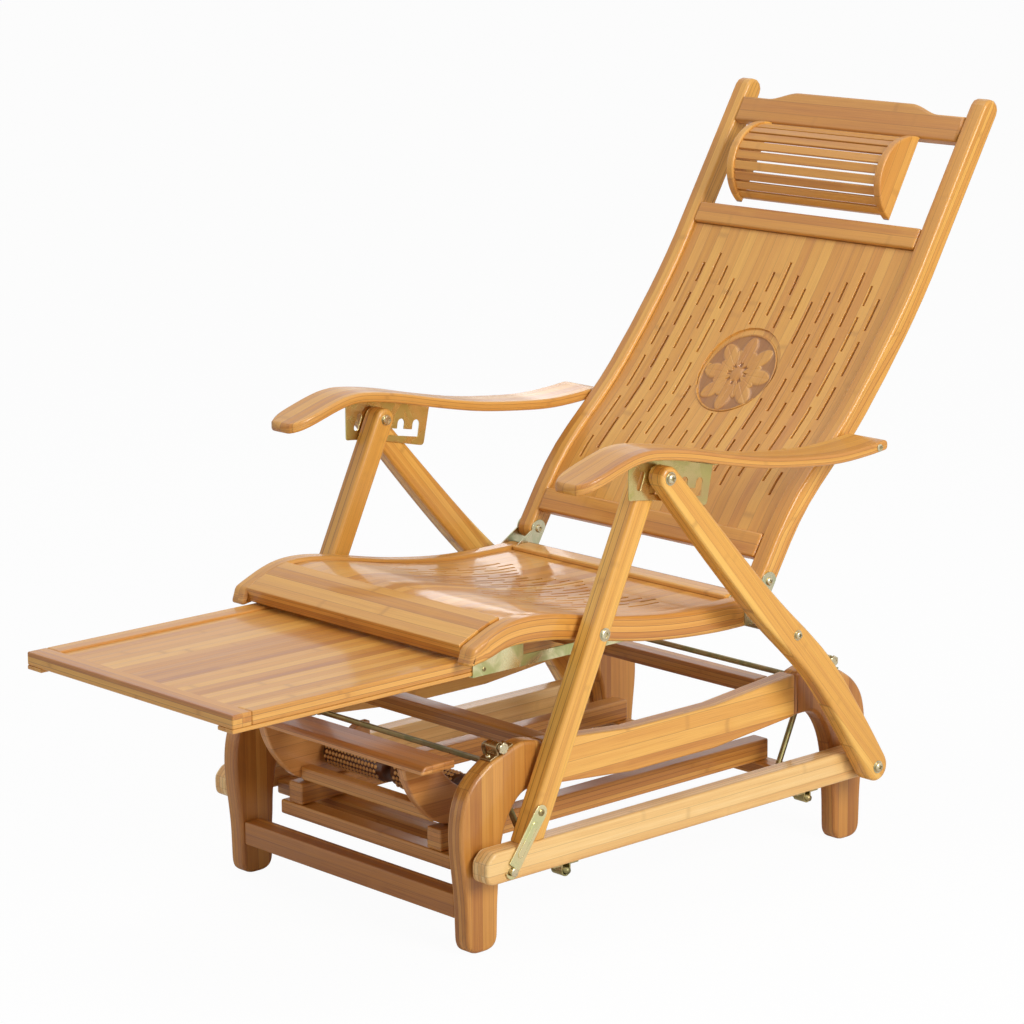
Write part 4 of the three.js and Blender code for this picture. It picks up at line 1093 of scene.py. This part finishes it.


# Medallion: a carved rosette of eight petals, left standing in the sunken round of the panel. The
# ground between the petals is painted darker as painted shade.
rosette_radius = 0.0715
rosette_lift = 0.0026
rosette_sink = 0.0004
rosette_gap = 0.00012
petal_count = 8
medallion_drop = 0.238


def petal_height(radius, angle):
    """Height of the carving, as a share, at a radius share and an angle."""
    def lobe(turn, start, stop, fullness):
        swing = abs(((angle - turn) * petal_count / (2 * math.pi) + 0.5) % 1 - 0.5) * 2
        run = (radius - start) / (stop - start)
        if not 0 < run < 1:
            return 0.0
        width = fullness * math.sin(math.pi * min(run ** 0.75, 1.0)) ** 0.6
        edge = 1 - swing / max(width, 0.001)
        if edge <= 0:
            return 0.0
        spine = 0.18 * max(0.0, 1 - swing / 0.07)
        return min(1.0, (edge * 3.2)) * (0.80 - 0.22 * run) - spine * min(1.0, edge * 3)
    outer = lobe(0.0, 0.26, 0.93, 0.92)
    inner = lobe(math.pi / petal_count, 0.16, 0.62, 0.80)
    heart = max(0.0, 1 - (radius / 0.19) ** 2) ** 0.5 if radius < 0.19 else 0.0
    rim = max(0.0, 1 - abs(radius - 0.975) / 0.03)
    return max(outer, 1.08 * inner, heart, 0.9 * rim)


panel = frame["nodes"]["back_panel"].data
panel_faces = BVHTree.FromPolygons(
    [vertex.co for vertex in panel.vertices], [face.vertices[:] for face in panel.polygons]
)
heights, middles = midline(spots(panel)[:, [2, 1]], edge_ends(panel), 90)
travel = np.concatenate([[0], np.cumsum(np.hypot(np.diff(heights), np.diff(middles)))])
centre_z = np.interp(travel[-1] - medallion_drop, travel, heights)
slope = np.interp(centre_z, heights, np.gradient(middles, heights))
up_back = Vector((0, slope, 1)).normalized()
out_front = Vector((0, -up_back.z, up_back.y))
centre = Vector((0, np.interp(centre_z, heights, middles), centre_z))
rosette_rises = []


def rosette_mesh(rings=72, spokes=256):
    shape = bmesh.new()

    def stand(offset, rise):
        """Two points on the panel: one on the carving and one under it."""
        found = panel_faces.ray_cast(centre + offset + out_front * 0.05, -out_front)[0]
        rosette_rises.extend((rise, 0.0))
        upper = shape.verts.new(found + out_front * (rosette_gap + rosette_lift * rise))
        return upper, shape.verts.new(found - out_front * rosette_sink)

    pairs = []
    for ring in range(1, rings + 1):
        share = ring / rings
        row = []
        for spoke in range(spokes):
            angle = 2 * math.pi * spoke / spokes
            across = Vector((math.sin(angle) * share * rosette_radius, 0, 0))
            along = up_back * (math.cos(angle) * share * rosette_radius)
            row.append(stand(across + along, petal_height(share, angle)))
        pairs.append(row)
    hearts = stand(Vector(), petal_height(0.0, 0.0))
    for face, heart in enumerate(hearts):
        rows = [[pair[face] for pair in row] for row in pairs]
        for spoke in range(spokes):
            ahead = (spoke + 1) % spokes
            corner = (heart, rows[0][spoke], rows[0][ahead])
            shape.faces.new(corner[::-1] if face else corner)
            for near, far in zip(rows, rows[1:]):
                quad = (near[spoke], far[spoke], far[ahead], near[ahead])
                shape.faces.new(quad[::-1] if face else quad)
    bridge(shape, [[pair[0] for pair in pairs[-1]], [pair[1] for pair in pairs[-1]]])
    return closed_mesh(shape, "rosette")


carved = back_bamboo.copy()
carved.name = "carved bamboo"
carved_tree = carved.node_tree
carved_colour = carved_tree.nodes["Principled BSDF"].inputs["Base Color"]
carved_height = carved_tree.nodes.new("ShaderNodeAttribute")
carved_height.attribute_name = "relief"
# Painted shade: the lower the carving, the darker its colour, strongest on the sunken ground
painted_shade = between(carved_tree, carved_height.outputs["Fac"], 0.05, 0.55, 0.72, 0.12)
with_painted_shade = blended(carved_tree, painted_shade, carved_colour.links[0].from_socket, (0.24, 0.080, 0.016, 1))
carved_tree.links.new(with_painted_shade, carved_colour)
rosette = new_piece("medallion_rosette", rosette_mesh(), carved, "back")
relief = rosette.data.attributes.new("relief", "FLOAT", "POINT")
relief.data.foreach_set("value", np.array(rosette_rises, dtype=np.float32))
lay_grain(rosette, along=axis_z, thick=axis_y, layer=0.2)


# Headrest: ten slats dowelled between two D-shaped end boards that stand a little proud of them,
# with narrow gaps to see through, and a batten along each edge of the open back.
slat_count = 10
slat_wide = 0.0134
slat_thick = 0.005
slat_sink = 0.0035
slat_tenon = 0.0004
slat_share = 0.93
slat_edge = 0.0014
strip_end_edge = 0.0002
end_board_thick = 0.014
end_board_round = 0.0028
back_batten = 0.009
batten_inset = 0.006
back_batten_edge = 0.001
head_lift = 0.008
head_spare = 0.002
head_points, flat_points, head_up, head_out = end_face("headrest")
rises = flat_points @ np.array(head_up)
depths = flat_points @ np.array(head_out)
head_half = head_points[:, 0].max()
head_chord = rises.max() - rises.min() + head_spare
head_depth = depths.max() - depths.min()
head_radius = (head_chord ** 2 / 4 + head_depth ** 2) / (2 * head_depth)
head_middle = head_up * ((rises.max() + rises.min()) / 2 + head_lift) + head_out * depths.min()
head_centre = head_middle - head_out * (head_radius - head_depth)
head_sweep = math.asin(head_chord / 2 / head_radius)


def round_spot(radius, angle):
    return head_centre + (head_out * math.cos(angle) + head_up * math.sin(angle)) * radius


def head_strip(name, corners, rounding, facing, **grain):
    return slab(
        name, [eased(corners, rounding)], -slat_reach, slat_reach, strip_end_edge, "back", back_bamboo,
        steps=1, along=axis_x, thick=(0, facing.x, facing.y), **grain,
    )


end_outline = [round_spot(head_radius, head_sweep * (1 - step / 20)) for step in range(41)]
head_ends = [
    slab(
        f"headrest_end_{side}", [end_outline], way * head_half, way * (head_half - end_board_thick),
        end_board_round, "back", back_bamboo, thick=axis_x, strip=0.018, layer=0.014,
    )
    for side, way in sides.items()
]
slat_reach = head_half - end_board_thick + slat_tenon
for place in range(slat_count):
    angle = head_sweep * slat_share * (1 - (2 * place + 1) / slat_count)
    outward = (round_spot(1.0, angle) - head_centre).normalized()
    across = Vector((-outward.y, outward.x))
    middle = round_spot(head_radius - slat_sink - slat_thick / 2, angle)
    corners = [
        middle + outward * slat_thick / 2 * rise + across * slat_wide / 2 * run
        for rise, run in ((1, -1), (1, 1), (-1, 1), (-1, -1))
    ]
    head_strip(f"headrest_slat_{place + 1}", corners, slat_edge, outward, strip=0.014)
for place, end_way in enumerate((1, -1)):
    corner = head_middle + head_up * end_way * (head_chord / 2 - batten_inset)
    corners = [
        corner + head_out * run * back_batten + head_up * -end_way * rise * back_batten
        for run, rise in ((0, 0), (1, 0), (1, 1), (0, 1))
    ]
    head_strip(f"headrest_batten_{place + 1}", corners[::-end_way], back_batten_edge, head_out)
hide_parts("headrest")


# Hinges: yellow passivated clevis plates on the seat rails' rear ends, with a bolt through the
# back rail and a screw into the seat rail from each side.
hinge_bolt_radius = 0.0062
hinge_bolt_height = 0.0030
hinge_screw_place = Vector((0, 0.012, 0.020))
hinge_screw_radius = 0.0036
hinge_screw_height = 0.0018
hinge_edge = 0.0004
hinge_zinc = yellow_zinc(
    "hinge zinc", (0.66, 0.60, 0.40, 1), (0.48, 0.52, 0.32, 1), (0.58, 0.46, 0.34, 1), 0.30
)
for side, way in sides.items():
    name = f"back_hinge_{side}"
    finish_node(name, hinge_zinc, hinge_edge, 2)
    low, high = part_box(name)
    for face, facing in ((high.x, 1), (low.x, -1)):
        label, head = ("out", pan_head) if facing == way else ("in", socket_head)
        fasten(
            f"hinge_bolt_{side}_{label}", head(hinge_bolt_radius, hinge_bolt_height),
            on_face(face, pivots["recline"]), (facing, 0, 0), "seat", spin=0.5,
        )
        fasten(
            f"hinge_screw_{side}_{label}", pan_head(hinge_screw_radius, hinge_screw_height),
            on_face(face, low + hinge_screw_place), (facing, 0, 0), "seat", spin=0.9,
        )


# Arms: three thick laths bent to a wave and pressed, so the glue lines show along the edges, with
# rounded edges all round. A bolt at the rear end holds each to its back rail.
arm_round = 0.0042
arm_layer = 0.005
arm_bolt_radius = 0.0055
arm_bolt_height = 0.0022
section_hair = 0.0002
top_skin = 0.0006
arm_bamboo = lacquered_bamboo(
    "arm bamboo", (0.78, 0.42, 0.086, 1), (0.62, 0.28, 0.042, 1), (0.37, 0.120, 0.015, 1), 0.13
)


def bent_board(name, node, body, rounding, material, layer, stations=110, corner=6):
    """A bent board that follows a CAD piece section by section, with every edge rounded over."""
    mesh = frame["nodes"][node].data
    points = spots(mesh)
    edges = edge_ends(mesh)
    start, end = points[edges[:, 0]], points[edges[:, 1]]
    low, high = points[:, 1].min(), points[:, 1].max()

    def section(y):
        y = min(max(y, low + section_hair), high - section_hair)
        crossing = (start[:, 1] - y) * (end[:, 1] - y) < 0
        first, last = start[crossing], end[crossing]
        share = ((y - first[:, 1]) / (last[:, 1] - first[:, 1]))[:, None]
        cut = first + share * (last - first)
        top, bottom = cut[:, 2].max(), cut[:, 2].min()
        upper = cut[cut[:, 2] > top - top_skin]
        return np.array([upper[:, 0].min(), upper[:, 0].max(), bottom, top])

    ease = [rounding * (1 - math.cos(math.pi / 2 * step / corner)) for step in range(corner)]
    runs = ease + list(np.linspace(rounding, high - low - rounding, stations))
    runs += [high - low - run for run in reversed(ease)]
    rows = np.array([section(low + run) for run in runs])
    for column in range(4):
        padded = np.pad(rows[:, column], 2, mode="reflect", reflect_type="odd")
        rows[:, column] = np.convolve(padded, (0.1, 0.2, 0.4, 0.2, 0.1), mode="valid")
    shape = bmesh.new()
    rings = []
    for run, (left, right, bottom, top) in zip(runs, rows):
        off = min(run, high - low - run)
        inset = rounding - math.sqrt(max(rounding ** 2 - max(rounding - off, 0.0) ** 2, 0.0))
        half_wide, half_high = (right - left) / 2 - inset, (top - bottom) / 2 - inset
        radius = min(rounding, half_wide * 0.98, half_high * 0.98)
        ring = []
        for quarter, (way_x, way_z) in enumerate(((1, 1), (-1, 1), (-1, -1), (1, -1))):
            for step in range(corner):
                angle = math.pi / 2 * (quarter + step / (corner - 1))
                ring.append(shape.verts.new((
                    (left + right) / 2 + way_x * (half_wide - radius) + radius * math.cos(angle),
                    low + run,
                    (bottom + top) / 2 + way_z * (half_high - radius) + radius * math.sin(angle),
                )))
        rings.append(ring)
    bridge(shape, rings)
    shape.faces.new(rings[0])
    shape.faces.new(list(reversed(rings[-1])))
    piece = placed(
        name, closed_mesh(shape, name), body, material, "bamboo",
        along=axis_y, thick=axis_z, bent=True, layer=layer,
    )
    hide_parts(node)


for side, way in sides.items():
    name = f"arm_{side}"
    bent_board(f"bent_{name}", name, name, arm_round, arm_bamboo, arm_layer)
    face, _ = outer_inner(name, way)
    arm_bolt = socket_head(arm_bolt_radius, arm_bolt_height)
    fasten(f"arm_bolt_{side}", arm_bolt, on_face(face, pivots[f"arm_{side}_follow"]), (way, 0, 0), name)


# Arm brackets: folded plates under the arms with a notched slot each, which set the angle of the
# back, in yellow passivated steel. A short leaning slot at the front takes a hook.
bracket_thick = 0.002
bracket_corner = 0.010
bracket_edge = 0.0005
flange_corner = 0.0006
front_strip = 0.012
notch_wide = 0.0135
notch_drop = 0.006
slot_high = 0.0105
slot_drop = 0.012
slot_corner = 0.0012
peak_skin = 0.0008
hole_half = 0.009
hole_radius = 0.0045
hole_lean = math.radians(22)
hole_place = 0.023
hole_drop = 0.004
bracket_zinc = yellow_zinc(
    "bracket zinc", (0.72, 0.56, 0.24, 1), (0.60, 0.51, 0.18, 1), (0.62, 0.42, 0.18, 1), 0.25
)


def notched_slot(slot):
    """The slot's outline: a low run with a round-topped notch over each peak of the given one."""
    edges = [spot - slot[place - 1] for place, spot in enumerate(slot)]
    run = max(edges, key=lambda edge: edge.length).normalized()
    run = run if run.x > 0 else -run
    lift = Vector((-run.y, run.x))
    lifts = [spot.dot(lift) for spot in slot]
    notches = []
    for peak in sorted(spot.dot(run) for spot in slot if spot.dot(lift) > max(lifts) - peak_skin):
        if not notches or peak > notches[-1] + notch_wide:
            notches.append(peak)
    half = notch_wide / 2
    floor, roof = min(lifts) - slot_drop, max(lifts) - notch_drop
    comb = [(notches[0] - half, floor), (notches[-1] + half, floor)]
    for middle in reversed(notches):
        if middle < notches[-1]:
            comb.append((middle + half, floor + slot_high))
        for step in range(13):
            angle = math.pi * step / 12
            comb.append((middle + half * math.cos(angle), roof - half + half * math.sin(angle)))
        if middle > notches[0]:
            comb.append((middle - half, floor + slot_high))
    return eased([run * place + lift * rise for place, rise in comb], slot_corner)


for side, way in sides.items():
    name = f"arm_bracket_{side}"
    body = f"arm_{side}"
    low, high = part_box(name)
    far, near = outer_inner(name, way)
    outer, slot = face_loops(name, -way)[:2]
    outer = eased(outer, bracket_corner)
    front_edge = [spot.y for spot in outer if spot.x < low.y + front_strip]
    hole_middle = Vector((low.y + hole_place, sum(front_edge) / len(front_edge) - hole_drop))
    hole_way = Vector((math.sin(hole_lean), math.cos(hole_lean))) * hole_half
    hole = long_round([hole_middle + hole_way, hole_middle - hole_way], hole_radius, -hole_lean)
    plate_face = near + way * bracket_thick
    plate = slab(
        f"notched_{name}", [outer, notched_slot(slot)[::-1], hole[::-1]], near, plate_face, bracket_edge,
        body, bracket_zinc, "brass", steps=3,
    )
    slab(
        f"flange_{name}", [eased(face_loops(name, way)[0], flange_corner)], plate_face, far, bracket_edge,
        body, bracket_zinc, "brass", steps=3,
    )
    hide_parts(name)


# Room: a wide white floor that shows white to the camera and keeps a soft shadow, under a white
# sky that lights the chair weakly from all round.
floor_glow = 0.96
sky_strength = 0.32
floor_paint, floor_tree, floor_shader = new_finish("studio floor")
floor_shader.inputs["Base Color"].default_value = (0.86, 0.86, 0.86, 1)
floor_shader.inputs["Roughness"].default_value = 0.9


def shown_as(tree, rays, plain, seen, output):
    mix = tree.nodes.new("ShaderNodeMixShader")
    for place, value in enumerate((rays, plain.outputs[0], seen.outputs[0])):
        tree.links.new(value, mix.inputs[place])
    tree.links.new(mix.outputs[0], tree.nodes[output].inputs["Surface"])


glow = add(floor_tree, "ShaderNodeEmission", Color=(1, 1, 1, 1))
camera_rays = add(floor_tree, "ShaderNodeLightPath").outputs["Is Camera Ray"]
seen = sums(floor_tree, "MULTIPLY", camera_rays, floor_glow)
shown_as(floor_tree, seen, floor_shader, glow, "Material Output")
bpy.ops.mesh.primitive_grid_add(x_subdivisions=8, y_subdivisions=8, size=80, location=(0, 0, -0.0005))
floor = bpy.context.object
floor.name = "studio_floor"
floor.data.materials.append(floor_paint)

world = bpy.data.worlds.new("studio")
bpy.context.scene.world = world
world.use_nodes = True
sky = world.node_tree
sky_light = sky.nodes["Background"]
sky_light.inputs["Color"].default_value = (1, 1, 1, 1)
sky_light.inputs["Strength"].default_value = sky_strength
sky_seen = add(sky, "ShaderNodeBackground", Color=(1, 1, 1, 1), Strength=1.0)
sky_path = add(sky, "ShaderNodeLightPath")
sky_rays = sums(sky, "MAXIMUM", sky_path.outputs["Is Camera Ray"], sky_path.outputs["Is Glossy Ray"])
shown_as(sky, sky_rays, sky_light, sky_seen, "World Output")


# Lamps: a large soft box to the right of the camera, one overhead, a weak one to the left of the
# camera and a small one behind the chair.
def soft_box(name, spot, target, width, height, power):
    light = bpy.data.lights.new(name, "AREA")
    light.shape = "RECTANGLE"
    light.size = width
    light.size_y = height
    light.energy = power
    lamp = bpy.data.objects.new(name, light)
    bpy.context.scene.collection.objects.link(lamp)
    lamp.location = spot
    lamp.rotation_euler = (Vector(target) - Vector(spot)).to_track_quat("-Z", "Y").to_euler()


soft_box("key", (3.8, 0.1, 2.2), (0, 0, 0.55), 1.6, 1.8, 124)
soft_box("overhead", (-0.6, -0.4, 3.4), (0, 0, 0.5), 1.8, 1.8, 28)
soft_box("fill", (-1.2, -3.8, 1.9), (0, 0, 0.6), 2.0, 1.6, 13)
soft_box("window", (-2.3, 2.0, 1.25), (0, -0.1, 0.45), 0.35, 0.7, 1.6)


# Camera: the photograph's own place and lens, with the small shift and roll that its crop needs,
# aimed at a point in the middle of the chair.
camera_distance = 5.1
camera_aim = Vector((0, 0.02975, 0.5226))
azimuth, elevation, roll = math.radians(47.085), math.radians(12.347), math.radians(-0.375)
camera_data = bpy.data.cameras.new("camera")
camera_data.sensor_width = 36
camera_data.lens = 123.53
camera_data.shift_x = -0.031164
camera_data.shift_y = -0.002663
camera_data.clip_end = 60
camera = bpy.data.objects.new("camera", camera_data)
bpy.context.scene.collection.objects.link(camera)
backward = Vector((
    math.sin(azimuth) * math.cos(elevation), -math.cos(azimuth) * math.cos(elevation), math.sin(elevation)
))
rightward = (-backward).cross(Vector(axis_z)).normalized()
upward = rightward.cross(-backward)
level = Matrix((rightward, upward, backward)).transposed().to_4x4()
place = Matrix.Translation(camera_aim + backward * camera_distance)
camera.matrix_world = place @ level @ Matrix.Rotation(roll, 4, "Z")
bpy.context.scene.camera = camera
bpy.context.scene.view_settings.view_transform = "Standard"

bpy.context.view_layer.update()
